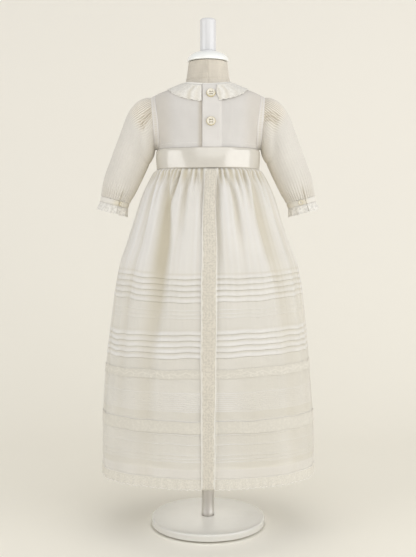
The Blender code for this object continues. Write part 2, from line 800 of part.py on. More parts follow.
def skirt_knots(height):
    """Angles and drops of the gathers and the strip's edges, in order round the skirt."""
    left, right = strip_angle("left", height), strip_angle("right", height)
    beside = Fold(0.0, 0.0, STRIP_FOLD_DEPTH, STRIP_FOLD_FADE)
    drop = fold_now(beside, height)[1]
    knots = [fold_now(fold, height) for fold in BACK_FOLDS_LEFT]
    knots += [(left - STRIP_FOLD_MARGIN, drop), (left, 0.0)]
    knots += [(right, 0.0), (right + STRIP_FOLD_MARGIN, drop)]
    knots += [fold_now(fold, height) for fold in BACK_FOLDS_RIGHT]
    knots += [fold_now(fold, height) for fold in front_folds()]
    return knots


def ridge_counts():
    """How many points a ridge between two neighbouring gathers takes."""
    knots = skirt_knots(WAIST)
    strip = len(BACK_FOLDS_LEFT) + 1
    counts = []
    for k, (angle, _) in enumerate(knots):
        following = knots[(k + 1) % len(knots)][0]
        spacing = (following - angle) % 360.0
        if k in (strip - 1, strip, strip + 1):
            counts.append(0)
        else:
            counts.append(2 if spacing > WIDE_GATHER else 1)
    return counts


def skirt_columns(height):
    """Angle and drop of every column of skirt points at a height."""
    knots = skirt_knots(height)
    columns = []
    for k, count in enumerate(ridge_counts()):
        angle, drop = knots[k]
        next_angle, next_drop = knots[(k + 1) % len(knots)]
        spacing = (next_angle - angle) % 360.0
        columns.append((angle, drop))
        for r in range(1, count + 1):
            share = r / (count + 1)
            roundness = 1.0 - math.sin(math.pi * share) ** 0.6
            between = ((1.0 - share) * drop + share * next_drop) * roundness
            columns.append((angle + spacing * share, between))
    return columns


def skirt_ring(height, outset=0.0):
    """A ring of the skirt's outer face, moved out level by the outset."""
    half_width = smooth_value(SKIRT, "half_width", height)
    half_depth = smooth_value(SKIRT, "half_depth", height)
    power = smooth_value(SKIRT, "power", height)
    rise = smooth_value(SKIRT, "rise", height)
    ring = []
    for angle, drop in skirt_columns(height):
        grow = outset - drop
        x, y = oval_point(half_width + grow, half_depth + grow, power, angle)
        ring.append(Vector((x, y, height + rise * x)))
    return ring


def tuck_rows(top):
    """Heights and raises of a group of tucks, from its top line to below its last fold."""
    rows = []
    for k in range(TUCK_COUNT):
        line = top - k * TUCK_PITCH
        rows.append((line, 0.0))
        rows.append((line - TUCK_FOLD, TUCK_RAISE))
    rows.append((top - TUCK_COUNT * TUCK_PITCH, 0.0))
    return rows


GATHER_HEIGHTS = (WAIST, 0.6378, 0.6340, 0.6290, 0.6190, 0.6040, 0.5820, 0.5540, 0.5220, 0.4900)
LOW_HEIGHTS = (*UPPER_LACE, 0.2570, 0.2268, *LOWER_LACE, 0.1710, 0.1400, SKIRT_HEM)
SKIRT_INNER_HEIGHTS = (WAIST, 0.6378, 0.6340, 0.6290, 0.6040, 0.5540, 0.4900, 0.3860, 0.2268,
                       SKIRT_HEM)


def build_skirt(collection):
    """The gathered outer skirt: tucks raised in its outer face over a plain inner face."""
    rows = [(height, 0.0) for height in GATHER_HEIGHTS]
    rows += tuck_rows(UPPER_TUCKS)
    rows.append((0.3860, 0.0))
    rows += tuck_rows(LOWER_TUCKS)
    rows += [(height, 0.0) for height in LOW_HEIGHTS]
    outer = [skirt_ring(height, raised) for height, raised in rows]
    plain = [skirt_ring(height) for height in SKIRT_INNER_HEIGHTS]
    inner = moved_grid(plain, grid_normals(plain, True), SKIRT_WALL)
    tube_wall("skirt", outer, inner, collection, ORGANZA)


def build_lining(collection):
    columns = 32
    heights = (WAIST, 0.6300, 0.6000, 0.5400, 0.4500, 0.3000, LINING_HEM)

    def rings(thin):
        grid = []
        for height in heights:
            half_width = smooth_value(LINING, "half_width", height) - thin
            half_depth = smooth_value(LINING, "half_depth", height) - thin
            power = smooth_value(LINING, "power", height)
            points = (oval_point(half_width, half_depth, power, 360.0 * j / columns)
                      for j in range(columns))
            grid.append([Vector((x, y, height)) for x, y in points])
        return grid

    tube_wall("skirt_lining", rings(0.0), rings(LINING_WALL), collection, COTTON)


def build_skirt_trims(collection):
    """Lace bands and hem lace from the skirt's points moved out, and the centre back strip."""
    for name, (high, low) in (("upper", UPPER_LACE), ("lower", LOWER_LACE)):
        gap = LAYER_GAP
        outer = [skirt_ring(high, gap + TRIM_WALL), skirt_ring(low, gap + TRIM_WALL)]
        inner = [skirt_ring(high, gap), skirt_ring(low, gap)]
        tube_wall("skirt_lace_" + name, outer, inner, collection, LACE)

    top = SKIRT_HEM - SEAM_GAP
    upper_ring = skirt_ring(top, -0.0001)
    lower_ring = []
    for j, point in enumerate(skirt_ring(LACE_HEM)):
        level = Vector((point.x, point.y, 0.0)).normalized()
        lower_ring.append(point + (0.0012 if j % 2 else -0.0006) * level)
    outer = [upper_ring, lower_ring]
    inner = moved_grid(outer, grid_normals(outer, True), TRIM_WALL + 0.0002)
    tube_wall("hem_lace", outer, inner, collection, LACE)


STRIP_HEIGHTS = (0.6372, 0.6340, 0.6290, 0.6190, 0.6040, 0.5820, 0.5540, 0.5220, 0.4900, 0.4580,
                 0.4090, 0.3860, 0.3640, 0.3150, 0.2976, 0.2825, 0.2570, 0.2268, 0.2100, 0.1900,
                 0.1710, 0.1400, SKIRT_HEM, LACE_HEM + 0.0010)


def build_back_strip(collection):
    """The lace strip, over the tucks and the lace bands."""
    first = 0
    for k in range(len(BACK_FOLDS_LEFT) + 1):
        first += 1 + ridge_counts()[k]
    low = LAYER_GAP + TUCK_RAISE + 0.0003

    def grid(offset):
        return [skirt_ring(height, offset)[first:first + 2] for height in STRIP_HEIGHTS]

    sheet_wall("back_lace_strip", grid(low + TRIM_WALL), grid(low), collection, LACE)


def build_form(collection):
    """The linen torso with its neck, closed at both ends."""
    columns = 24
    heights = (0.831, 0.812, 0.797, 0.7915, 0.7885, 0.783, 0.7775, 0.772, 0.768, 0.762, 0.745,
               0.715, 0.676, 0.640, 0.600, 0.560, 0.535, 0.521, FORM_FOOT)
    bm = bmesh.new()
    rings = add_grid(bm, [[body_point(360.0 * j / columns, height) for j in range(columns)]
                          for height in heights])
    for first, second in zip(rings, rings[1:]):
        bridge(bm, first, second, True)
    bm.faces.new(rings[0])
    bm.faces.new(rings[-1])
    finish_mesh("form_torso", bm, collection, LINEN)


def rounded_corner(radius, height, rounding, steps):
    """Points of a turned profile's upper outer corner."""
    points = []
    for k in range(steps + 1):
        turn = 0.5 * math.pi * k / steps
        points.append((radius - rounding + rounding * math.sin(turn),
                       height - rounding + rounding * math.cos(turn)))
    return points


def build_stand(collection):
    """Neck cap, finial rod, pole and base."""
    cap_foot = FORM_TOP + SEAM_GAP
    cap_rim = cap_foot + CAP_EDGE
    first_turn = math.asin(ROD_RADIUS / CAP_RADIUS)
    rise = (CAP_TOP - cap_rim) / math.cos(first_turn)
    dome = [(0.0, CAP_TOP)]
    for k in range(DOME_STEPS + 1):
        turn = first_turn + (0.5 * math.pi - first_turn) * k / DOME_STEPS
        dome.append((CAP_RADIUS * math.sin(turn), cap_rim + rise * math.cos(turn)))
    dome += [(CAP_RADIUS, cap_foot), (0.0, cap_foot)]
    turned("neck_cap", dome, 24, collection, WHITE_LACQUER)

    rod_foot = CAP_TOP + SEAM_GAP
    rod = [(0.0, ROD_TOP)] + rounded_corner(ROD_RADIUS, ROD_TOP, ROD_ROUNDING, 3)
    rod += [(ROD_RADIUS, rod_foot), (0.0, rod_foot)]
    turned("finial_rod", rod, 20, collection, WHITE_LACQUER)

    pole_length = FORM_FOOT - BASE_HEIGHT - 2 * SEAM_GAP
    bpy.ops.mesh.primitive_cylinder_add(
        vertices=20, radius=POLE_RADIUS, depth=pole_length,
        location=(0.0, 0.0, BASE_HEIGHT + SEAM_GAP + 0.5 * pole_length))
    pole = bpy.context.object
    pole.name = "stand_pole"
    for owner in list(pole.users_collection):
        owner.objects.unlink(pole)
    collection.objects.link(pole)
    pole.data.shade_smooth()
    pole.data.set_sharp_from_angle(angle=math.radians(50.0))
    give_look(pole, POLE_STEEL)

    base = [(0.0, BASE_HEIGHT)] + rounded_corner(BASE_RADIUS, BASE_HEIGHT, BASE_ROUNDING, 3)
    base += [(BASE_RADIUS, 0.0), (0.0, 0.0)]
    turned("stand_base", base, 40, collection, WHITE_LACQUER)


def main():
    for old in list(bpy.data.objects):
        bpy.data.objects.remove(old, do_unlink=True)
    collection = bpy.data.collections.new("christening gown")
    bpy.context.scene.collection.children.link(collection)
    build_form(collection)
    build_stand(collection)
    build_bodice(collection)
    build_back_buttons(collection)
    build_collar(collection)
    build_neck_binding(collection)
    for plan in CUFFS:
        build_armhole_band(plan.name, plan.side, collection)
        build_sleeve(plan.name, plan.side, collection)
        build_cuff(plan, collection)
    build_sash(collection)
    build_skirt(collection)
    build_lining(collection)
    build_skirt_trims(collection)
    build_back_strip(collection)


main()
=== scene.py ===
"""A christening gown on a limbless dress form, seen from its buttoned back.

Lengths are in metres, angles in degrees, +Z is up, the back faces -Y and +X is the wearer's right.
Every cloth is a grid of points over the rounded sections that the solids have, and its gathers,
tucks, pleats, seams and scallops are worked into the points. Its UV map "Cloth" is in metres.
"""

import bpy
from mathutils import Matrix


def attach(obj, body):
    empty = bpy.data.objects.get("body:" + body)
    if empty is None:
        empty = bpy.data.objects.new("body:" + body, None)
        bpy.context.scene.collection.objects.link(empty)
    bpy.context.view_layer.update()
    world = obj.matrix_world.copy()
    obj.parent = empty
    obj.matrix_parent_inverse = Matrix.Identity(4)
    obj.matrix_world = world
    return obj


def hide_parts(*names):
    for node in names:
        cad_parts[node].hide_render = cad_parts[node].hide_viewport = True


bl_info = {
    "name": "Christening Gown",
    "version": (1, 0, 0),
    "blender": (4, 5, 0),
    "location": "3D View > Sidebar > Gown",
    "description": "Dresses the packed solids of a christening gown on its form and stand",
    "category": "Object",
}

import math
from collections import namedtuple

import bmesh
import bpy
import numpy as np
from bpy.props import FloatProperty, FloatVectorProperty, PointerProperty
from mathutils import Matrix, Vector

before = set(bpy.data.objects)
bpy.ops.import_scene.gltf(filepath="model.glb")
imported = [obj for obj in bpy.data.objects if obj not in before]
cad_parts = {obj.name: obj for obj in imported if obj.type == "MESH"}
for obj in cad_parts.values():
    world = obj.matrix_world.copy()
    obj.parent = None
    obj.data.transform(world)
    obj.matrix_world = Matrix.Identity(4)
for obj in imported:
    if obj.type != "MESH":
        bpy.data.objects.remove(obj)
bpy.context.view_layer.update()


def table(fields, rows):
    """A table's rows, each value by its name."""
    return tuple(map(namedtuple("Row", fields)._make, rows))


# Sizes that the solids have
SEAM_GAP = 0.0003
PLACKET_GAP = 0.0008
COLLAR_GAP = 0.0008
SASH_GAP = 0.0007
COLLAR_FRONT_EASE = 0.0009
BODICE_WALL = 0.0012
TRIM_WALL = 0.0010
PLACKET_OUT = BODICE_WALL + PLACKET_GAP + TRIM_WALL
WAIST = 0.6460
SASH_LOW = 0.6380
SASH_HIGH = 0.6740
SKIRT_HEM = 0.1135
LINING_HEM = 0.1300
LACE_HEM = 0.0950
NECK_SIDE = 0.7895
NECK_DROP_BACK = 0.0065
NECK_DROP_FRONT = 0.0155
ARMHOLE_CENTRE = 0.7215
ARMHOLE_HALF_HEIGHT = 0.0462
ARMHOLE_HALF_DEPTH = 0.0255
OPENING_X = -0.0098
PLACKET_X = 0.0240
UNDERLAP_X = 0.0070
COLLAR_DEPTH = 0.0290
TUCK_COUNT = 5
TUCK_PITCH = 0.0098
UPPER_TUCKS = 0.4580
LOWER_TUCKS = 0.3640
UPPER_LACE = (0.2976, 0.2825)
LOWER_LACE = (0.2100, 0.1900)
FORM_FOOT = 0.5150
FORM_TOP = 0.8310
BASE_RADIUS = 0.1020
BASE_HEIGHT = 0.0155
BASE_ROUNDING = 0.0035
POLE_RADIUS = 0.0110
CAP_RADIUS = 0.0370
CAP_EDGE = 0.0022
CAP_TOP = 0.8500
ROD_RADIUS = 0.0145
ROD_TOP = 0.9080
ROD_ROUNDING = 0.0045
# The pole's bevel, how far the ring at its foot stands out, and how far in the base's foot lies
POLE_BEVEL = 0.0006
RING_OUT = 0.0003
BASE_FOOT = 0.0140

# The form's shoulder and neck, and the seams round the neck and over the sash
SHOULDER = 0.7780
NECK_RADIUS = 0.0380
NECK_SEAM = 0.7965
WAIST_SEAM = 0.6815
# How wide a seam's groove is, and how far beside it the cloth swells and the stitches run
GROOVE_WIDTH = 0.0009
SEAM_SIDE = 0.0022
# How thick each cloth is made
LAWN_THICK = 0.0009
FINE_THICK = 0.0004
BAND_THICK = 0.0005
CUFF_THICK = 0.0012
LINING_THICK = 0.0006
SATIN_THICK = 0.0010
# A stitch as a share of its pitch, its radius, and from which angles edges are sharp
STITCH_SHARE = 0.66
STITCH_RADIUS = 0.00022
SHARP_EDGE = math.radians(38.0)
SHARP_RIM = math.radians(60.0)

BODY = table("height half_width front back power", (
    (0.5150, 0.0770, 0.0560, 0.0560, 2.40),
    (0.5210, 0.0870, 0.0640, 0.0640, 2.40),
    (0.5350, 0.0930, 0.0690, 0.0690, 2.40),
    (0.5600, 0.0960, 0.0710, 0.0710, 2.30),
    (0.6000, 0.0890, 0.0676, 0.0676, 2.30),
    (0.6400, 0.0855, 0.0660, 0.0655, 2.30),
    (0.6760, 0.0850, 0.0660, 0.0640, 2.30),
    (0.7000, 0.0880, 0.0650, 0.0620, 2.35),
    (0.7250, 0.0915, 0.0620, 0.0600, 2.40),
    (0.7500, 0.0940, 0.0560, 0.0560, 2.40),
    (0.7620, 0.0935, 0.0520, 0.0530, 2.35),
    (0.7680, 0.0915, 0.0500, 0.0510, 2.30),
    (0.7775, 0.0705, 0.0460, 0.0475, 2.25),
    (0.7880, 0.0460, 0.0422, 0.0430, 2.10),
    (0.7900, 0.0425, 0.0408, 0.0415, 2.05),
    (0.7940, 0.0400, 0.0395, 0.0398, 2.00),
    (0.8050, 0.0378, 0.0378, 0.0378, 2.00),
    (0.8310, 0.0345, 0.0345, 0.0345, 2.00),
))
EASE = table("height gap", (
    (0.6000, 0.0018),
    (0.7000, 0.0018),
    (0.7450, 0.0015),
    (0.7620, 0.0014),
    (0.7950, 0.0012),
))
SKIRT = table("height half_width half_depth power rise", (
    (0.0950, 0.1920, 0.1140, 2.05, 0.000),
    (0.1580, 0.1912, 0.1135, 2.05, 0.000),
    (0.2440, 0.1865, 0.1130, 2.05, 0.010),
    (0.3310, 0.1795, 0.1125, 2.05, 0.028),
    (0.3950, 0.1722, 0.1125, 2.05, 0.022),
    (0.4600, 0.1612, 0.1118, 2.05, 0.012),
    (0.5030, 0.1480, 0.1070, 2.05, 0.000),
    (0.5470, 0.1330, 0.1000, 2.05, 0.000),
    (0.5900, 0.1190, 0.0915, 2.08, 0.000),
    (0.6110, 0.1100, 0.0860, 2.15, 0.000),
    (0.6290, 0.1005, 0.0795, 2.25, 0.000),
    (0.6340, 0.0970, 0.0765, 2.30, 0.000),
    (0.6376, 0.0902, 0.0706, 2.30, 0.000),
    (0.6460, 0.0899, 0.0703, 2.30, 0.000),
))
LINING = table("height half_width half_depth power", (
    (0.1300, 0.1855, 0.1070, 2.05),
    (0.2230, 0.1815, 0.1062, 2.05),
    (0.3950, 0.1640, 0.1045, 2.05),
    (0.5030, 0.1355, 0.0945, 2.05),
    (0.5900, 0.1060, 0.0795, 2.15),
    (0.6300, 0.0883, 0.0692, 2.30),
    (0.6460, 0.0877, 0.0681, 2.30),
))
# The heights at which the tables below give each fold of the skirt
FOLD_HEIGHTS = (0.330, 0.430, 0.500, 0.560, 0.600, 0.625)
# Each fold's width to the left and right and its angle, in degrees, and its depth in mm
FOLDS = table("left right turns depths", (
    (12.5, 7.5, (-34.3, -30.5, -31.0, -34.5, -38.5, -41.3), (4.5, 9.0, 12.0, 11.5, 8.5, 6.5)),
    (5.5, 3.8, (-30.0, -30.0, -33.0, -34.0, -30.6, -29.0), (0.0, 0.0, 0.0, 2.0, 7.0, 7.5)),
    (6.0, 5.0, (-20.0, -20.0, -20.2, -20.1, -19.8, -19.3), (0.0, 0.0, 1.0, 5.0, 7.0, 7.5)),
    (4.5, 4.0, (-8.0, -8.0, -8.0, -8.0, -8.2, -9.8), (0.0, 0.0, 0.0, 0.0, 3.0, 6.5)),
    (3.5, 3.0, (-13.0, -13.0, -13.0, -13.0, -12.6, -12.4), (0.0, 0.0, 0.0, 0.0, 1.5, 5.0)),
    (5.5, 5.0, (22.7, 22.7, 22.7, 23.0, 21.8, 17.5), (0.0, 0.5, 2.5, 6.5, 6.5, 5.5)),
    (3.5, 3.5, (28.0, 28.0, 28.0, 29.0, 29.0, 27.0), (0.0, 0.0, 0.0, 0.5, 3.0, 5.5)),
    (4.5, 4.5, (35.0, 35.0, 35.0, 35.5, 36.0, 36.8), (0.0, 0.0, 0.5, 2.0, 4.5, 6.0)),
    (9.0, 15.0, (51.0, 47.2, 44.5, 44.2, 45.2, 48.0), (2.0, 4.5, 7.5, 9.0, 8.5, 6.0)),
    (6.5, 7.5, (-56.0, -55.0, -55.0, -57.0, -57.5, -58.0), (2.0, 3.5, 4.0, 5.0, 6.0, 5.5)),
    (4.5, 4.5, (-48.0, -48.0, -48.0, -48.5, -49.0, -49.0), (0.0, 0.0, 0.5, 1.0, 3.5, 4.5)),
    (7.0, 9.0, (68.0, 68.0, 68.0, 67.0, 66.5, 66.0), (2.0, 3.0, 3.5, 4.5, 6.0, 6.0)),
    (4.0, 4.0, (56.0, 56.0, 56.0, 57.0, 57.0, 57.0), (0.0, 0.0, 0.0, 0.5, 3.0, 4.5)),
    (7.0, 7.0, (-78.0, -78.0, -78.5, -79.0, -79.0, -79.0), (2.5, 4.0, 5.0, 5.0, 5.0, 5.0)),
    (7.0, 7.0, (80.0, 80.0, 80.0, 79.5, 79.0, 79.0), (2.5, 4.0, 5.0, 5.0, 5.0, 5.0)),
))
STRIP_LEFT_DEPTHS = (0.6, 0.6, 0.8, 3.0, 5.5, 4.0)
STRIP_RIGHT_DEPTHS = (1.5, 2.0, 5.0, 7.0, 8.0, 6.0)
FRONT_FOLD_COUNT = 15
FRONT_FOLD_DEPTHS = (7.0, 4.5, 10.0, 5.5, 8.5, 5.0, 6.0)
FRONT_FOLD_SHARES = (0.45, 0.62, 0.80, 0.95, 1.0, 0.9)
FOLD_LIMIT = 0.0125

# How light the skirt's cloth is down its length, 1 where it lies in most layers
SKIRT_TONES = (
    (0.0900, 0.55), (0.1285, 0.50), (0.1300, 0.22), (0.1396, 0.20), (0.1404, 0.30),
    (0.1690, 0.30), (0.1840, 0.28), (0.1870, 0.23), (0.1895, 0.30), (0.2095, 0.29),
    (0.2110, 0.22), (0.2255, 0.18), (0.2262, 0.35), (0.2575, 0.35), (0.2600, 0.31),
    (0.3100, 0.32), (0.3660, 0.37), (0.4000, 0.39), (0.4100, 0.43), (0.4600, 0.60),
    (0.5600, 0.72), (0.6200, 0.70), (0.6460, 0.60),
)
SEWN_LINES = (
    ((0.3974, 0.72), (0.3906, 0.62), (0.3847, 0.66))
    + ((0.2574, 0.75),) + tuple((0.2574 - 0.00336 * k, 0.52) for k in range(1, 10))
    + ((0.2106, 0.70), (0.1872, 0.55), (0.1710, 0.62), (0.1530, 0.50), (0.1465, 0.50),
       (0.1420, 0.50))
)
# The waves of the skirt's fine creases: how many round it, phase, drift downwards and swell
CREASE_WAVES = ((61, 0.3, 3.0, 5), (74, 2.1, -4.0, 7), (93, 4.0, 2.0, 11), (117, 1.2, -2.5, 6))
# A tuck's rows: the share of its depth and of its raise, and how light each is from its layers of
# cloth, with painted light on the fold and painted shade under it
TUCK_SHAPE = (
    (0.0, 0.0, 0.22), (0.22, 0.50, 0.50), (0.55, 0.95, 0.80), (0.92, 1.0, 0.66),
    (1.0, 0.70, 0.52), (0.60, 0.50, 0.40), (0.20, 0.25, 0.36), (0.16, 0.0, 0.32),
)
# The skirt's rows between its tucks, sewn lines and hem
PLAIN_ROWS = (
    0.4080, 0.4040, 0.4003, 0.3940, 0.3877, 0.3810, 0.3770, 0.3730, 0.3690, 0.3140, 0.3080,
    0.3020, 0.2960, 0.2900, 0.2840, 0.2780, 0.2720, 0.2660, 0.2610, 0.2262, 0.2255, 0.2200,
    0.2150, 0.2095, 0.2060, 0.2000, 0.1950, 0.1895, 0.1840, 0.1790, 0.1745, 0.1680, 0.1630,
    0.1580, 0.1500, 0.1404, 0.1396, 0.1350, 0.1300, 0.1285, 0.1250, 0.1200, 0.1150,
)
# The rows of its turned-up hem: how far over the edge, and how far out
HEM_SHAPE = (
    (0.0002, -0.0001), (0.0, -0.0004), (0.0003, -0.0007), (0.0055, -0.0008),
    (0.0105, -0.0008), (0.0150, -0.0008),
)
HEM_TONE = 0.6
# How far the lining follows the skirt's folds
LINING_FOLLOW = 0.6
STRIP = table("height left right", (
    (0.0950, -0.0112, 0.0115),
    (0.2000, -0.0112, 0.0118),
    (0.3300, -0.0119, 0.0138),
    (0.4500, -0.0108, 0.0142),
    (0.5050, -0.0097, 0.0144),
    (0.5730, -0.0082, 0.0126),
    (0.5940, -0.0073, 0.0128),
    (0.6360, -0.0050, 0.0160),
    (0.6460, -0.0045, 0.0165),
))
SLEEVE = table("outer_x outer_z inner_x inner_z half_depth middle_y", (
    (0.0998, 0.7673, 0.0938, 0.6762, 0.0243, 0.0000),
    (0.1085, 0.7672, 0.0942, 0.6740, 0.0275, 0.0000),
    (0.1200, 0.7638, 0.0948, 0.6712, 0.0300, 0.0000),
    (0.1330, 0.7540, 0.0955, 0.6682, 0.0318, 0.0005),
    (0.1430, 0.7395, 0.0965, 0.6645, 0.0328, 0.0010),
    (0.1512, 0.7200, 0.0982, 0.6605, 0.0335, 0.0015),
    (0.1595, 0.6970, 0.1018, 0.6535, 0.0338, 0.0020),
    (0.1682, 0.6740, 0.1078, 0.6425, 0.0335, 0.0028),
    (0.1768, 0.6510, 0.1165, 0.6240, 0.0325, 0.0036),
    (0.1845, 0.6300, 0.1255, 0.6060, 0.0312, 0.0044),
    (0.1888, 0.6110, 0.1330, 0.5925, 0.0292, 0.0050),
    (0.1903, 0.5995, 0.1385, 0.5850, 0.0262, 0.0055),
    (0.1918, 0.5922, 0.1415, 0.5790, 0.0242, 0.0058),
))
# How far the pleats of a sleeve's cap fan out down its length, in degrees
PLEAT_FAN = (0.0, 6.0, 11.0, 10.0, 2.0, -13.0)
# The folds of a sleeve's cap: how far aside the first, depth and width, with angles in degrees
CAP_FOLDS = ((0.0, 0.0030, 3.4), (-9.0, 0.0022, 3.2), (8.5, 0.0020, 3.0))
# Each side's sign, and its cuff's slit, cuff's button and cap's fold as angles round the sleeve
SIDES = table("name side slit_angle button_angle fold_start fold_end", (
    ("left", -1, 247.0, 238.0, 295.0, 277.0),
    ("right", 1, 283.0, 262.0, 280.0, 292.0),
))
CUFF_BAND = 0.0100
CUFF_LACE = 0.0150
CUFF_LACE_FLARE = 0.0022
# Counts of pleats, gathers, waves and scallops round each piece
COLLAR_PLEATS = 44.0
COLLAR_WAVES = 15.0
COLLAR_SCALLOPS = 34.0
SLEEVE_PLEATS = 64.0
ARM_PLEATS = 30.0
CUFF_GATHERS = 40.0
CUFF_SCALLOPS = 22.0
CUFF_WAVES = 12.0
SKIRT_GATHERS = 72.0
LINING_FOLDS = 22.0
HEM_WAVES = 62.0
HEM_SCALLOPS = 96.0
# How many columns lie from one whip or bar to the next
WHIP_COLUMNS = 5.0
# Picots: the pitch, how far they reach out and their thread's radius
COLLAR_PICOTS = (0.0024, 0.0008, 0.00028)
CUFF_PICOTS = (0.0022, 0.0006, 0.00024)
STRIP_PICOTS = (0.0026, 0.0006, 0.00026)
# How far the sash's face lies over its gap, and the skirt's laces over the skirt
SASH_OUT = 0.0011
BAND_OUT = 0.0008
STRIP_OUT = 0.0017
# Buttons: radii, thickness and the holes' distance as shares of a radius, and gap to the cloth
BUTTON_RADIUS = 0.0080
CUFF_BUTTON_RADIUS = 0.0042
BUTTON_THICK = 0.40
HOLE_SPREAD = 0.26
BUTTON_SEAT = SEAM_GAP + 0.0002
# The back buttons' x and heights
BUTTON_X = 0.0050
BUTTON_HEIGHTS = (0.7667, 0.7184)

# Soft creases: x and z of both ends, width, and how far out the cloth goes
LEFT_CREASES = (
    (-0.082, 0.700, -0.060, 0.668, 0.0060, -0.0007),
    (-0.074, 0.712, -0.052, 0.676, 0.0050, 0.0006),
    (-0.034, 0.752, -0.028, 0.690, 0.0070, -0.0005),
    (-0.062, 0.756, -0.050, 0.712, 0.0070, 0.0005),
    (-0.016, 0.744, -0.015, 0.682, 0.0040, 0.0005),
)
RIGHT_CREASES = (
    (0.082, 0.704, 0.062, 0.668, 0.0050, -0.0008),
    (0.075, 0.716, 0.054, 0.672, 0.0050, 0.0007),
    (0.040, 0.748, 0.034, 0.684, 0.0055, 0.0008),
    (0.047, 0.742, 0.043, 0.686, 0.0045, -0.0007),
    (0.064, 0.758, 0.056, 0.710, 0.0070, 0.0005),
)
FRONT_CREASES = (
    (-0.080, 0.704, -0.056, 0.668, 0.0060, -0.0007),
    (0.080, 0.704, 0.058, 0.668, 0.0060, -0.0007),
    (-0.030, 0.748, -0.034, 0.684, 0.0070, 0.0006),
    (0.022, 0.742, 0.028, 0.684, 0.0070, 0.0006),
    (0.052, 0.752, 0.046, 0.700, 0.0070, -0.0005),
)


def length_property(name, default, least, most, description):
    return FloatProperty(name=name, default=default, min=least, max=most, unit="LENGTH",
                         precision=4, description=description)


def power_property(name, default, most, description):
    return FloatProperty(name=name, default=default, min=0.0, max=most, unit="POWER",
                         description=description)


def colour_property(name, description, default):
    return FloatVectorProperty(name=name, description=description, default=default,
                               subtype="COLOR", size=3, min=0.0, max=1.0)


class GownSizes(bpy.types.PropertyGroup):
    gather_depth: FloatProperty(
        name="Skirt gathers", default=1.0, min=0.0, max=1.3, subtype="FACTOR",
        description="How deep the skirt's folds are against those of the solid")
    waist_gather: length_property(
        "Waist gathers", 0.0022, 0.0, 0.003, "Depth of the fine gathers under the sash")
    tuck_depth: length_property(
        "Tuck depth", 0.0082, 0.004, 0.009, "How far each tuck hangs below its sewn line")
    tuck_raise: length_property(
        "Tuck raise", 0.0009, 0.0005, 0.002, "How far the free edge of a tuck stands off the skirt")
    pintuck_raise: length_property(
        "Pintuck raise", 0.0004, 0.0, 0.001, "Height of the fine sewn lines")
    sleeve_pleat: length_property(
        "Sleeve pleats", 0.0010, 0.0, 0.0015, "Height of the fine pleats that fan from the armhole")
    cuff_gather: length_property(
        "Cuff gathers", 0.0012, 0.0, 0.002, "Height of the gathers above the cuff")
    collar_ruffle: length_property(
        "Collar ruffle", 0.0010, 0.0, 0.002, "Height of the collar's gathers at its outer edge")
    sash_crown: length_property(
        "Sash crown", 0.0011, 0.0, 0.002, "How far the middle of the sash stands out")
    stitch_length: length_property(
        "Stitch length", 0.0024, 0.001, 0.005, "Length of a machine stitch with its gap")


class GownColours(bpy.types.PropertyGroup):
    cotton: colour_property("Cotton", "Lawn of the bodice", (0.640, 0.618, 0.592))
    sleeve: colour_property("Sleeve", "Lawn of the sleeves", (0.700, 0.672, 0.622))
    organza: colour_property("Organza", "Sheer cloth of the skirt", (0.800, 0.780, 0.735))
    lining: colour_property("Lining", "Cloth under the skirt", (0.720, 0.692, 0.630))
    lace: colour_property("Lace", "Collar, cuff and hem lace", (0.770, 0.748, 0.700))
    band: colour_property("Bands", "Lace bands and hem lace of the skirt", (0.690, 0.660, 0.590))
    strip: colour_property("Strip", "Lace strip down the back", (0.635, 0.597, 0.520))
    satin: colour_property("Satin", "Sash", (0.600, 0.568, 0.505))
    pearl: colour_property("Pearl", "Buttons", (0.800, 0.760, 0.660))
    linen: colour_property("Linen", "Cover of the form", (0.640, 0.590, 0.500))
    lacquer: colour_property("Lacquer", "Lacquer of the rod", (0.672, 0.672, 0.684))
    # Painted light and shade: the cap's colour is the rod's lacquer made lighter, and the base's is
    # the same lacquer made warmer as painted warm shade and reflection.
    cap: colour_property("Cap", "Lacquer of the neck cap", (0.890, 0.900, 0.885))
    base: colour_property("Base", "Lacquer of the base", (0.690, 0.675, 0.628))
    steel: colour_property("Steel", "Pole", (0.640, 0.610, 0.570))
    thread: colour_property("Thread", "Stitches and cords", (0.850, 0.830, 0.780))
    # Painted shade: the button thread is made dark so that the holes it covers look shaded.
    button_thread: colour_property("Button thread", "Thread that holds the buttons",
                                   (0.360, 0.310, 0.200))
    floor: colour_property("Floor", "Paper on the floor", (0.885, 0.855, 0.772))
    wall: colour_property("Wall", "Paper of the backdrop", (0.868, 0.840, 0.778))


class StageSettings(bpy.types.PropertyGroup):
    distance: length_property(
        "Camera distance", 1.5688, 0.5, 10.0, "From the camera to the pole, level")
    height: length_property(
        "Camera height", 0.5510, 0.0, 3.0, "Height of the camera over the floor")
    tilt: FloatProperty(
        name="Camera tilt", default=math.radians(1.300), min=-1.5, max=1.5, subtype="ANGLE",
        unit="ROTATION", description="How far the camera looks down")
    lens: FloatProperty(
        name="Lens", default=56.42, min=10.0, max=300.0,
        description="Focal length in millimetres on a sensor 36 mm long")
    shift: FloatProperty(
        name="Camera shift", default=-0.0718, min=-0.5, max=0.5,
        description="How far the frame is shifted up, as a share of its long side")
    right_light: power_property(
        "Right light", 21.0, 500.0, "Power of the softbox at the right")
    left_light: power_property(
        "Left light", 12.0, 500.0, "Power of the softbox at the left")
    fill_light: power_property(
        "Fill light", 10.0, 500.0, "Power of the broad light over the camera")
    skirt_light: power_property(
        "Skirt glow", 0.05, 50.0, "Power of the light that comes down through the sheer skirt")
    world_light: FloatProperty(
        name="Room light", default=0.655, min=0.0, max=5.0,
        description="Strength of the even light from all round")


def sizes():
    return bpy.context.scene.gown_sizes


def colours():
    return bpy.context.scene.gown_colours


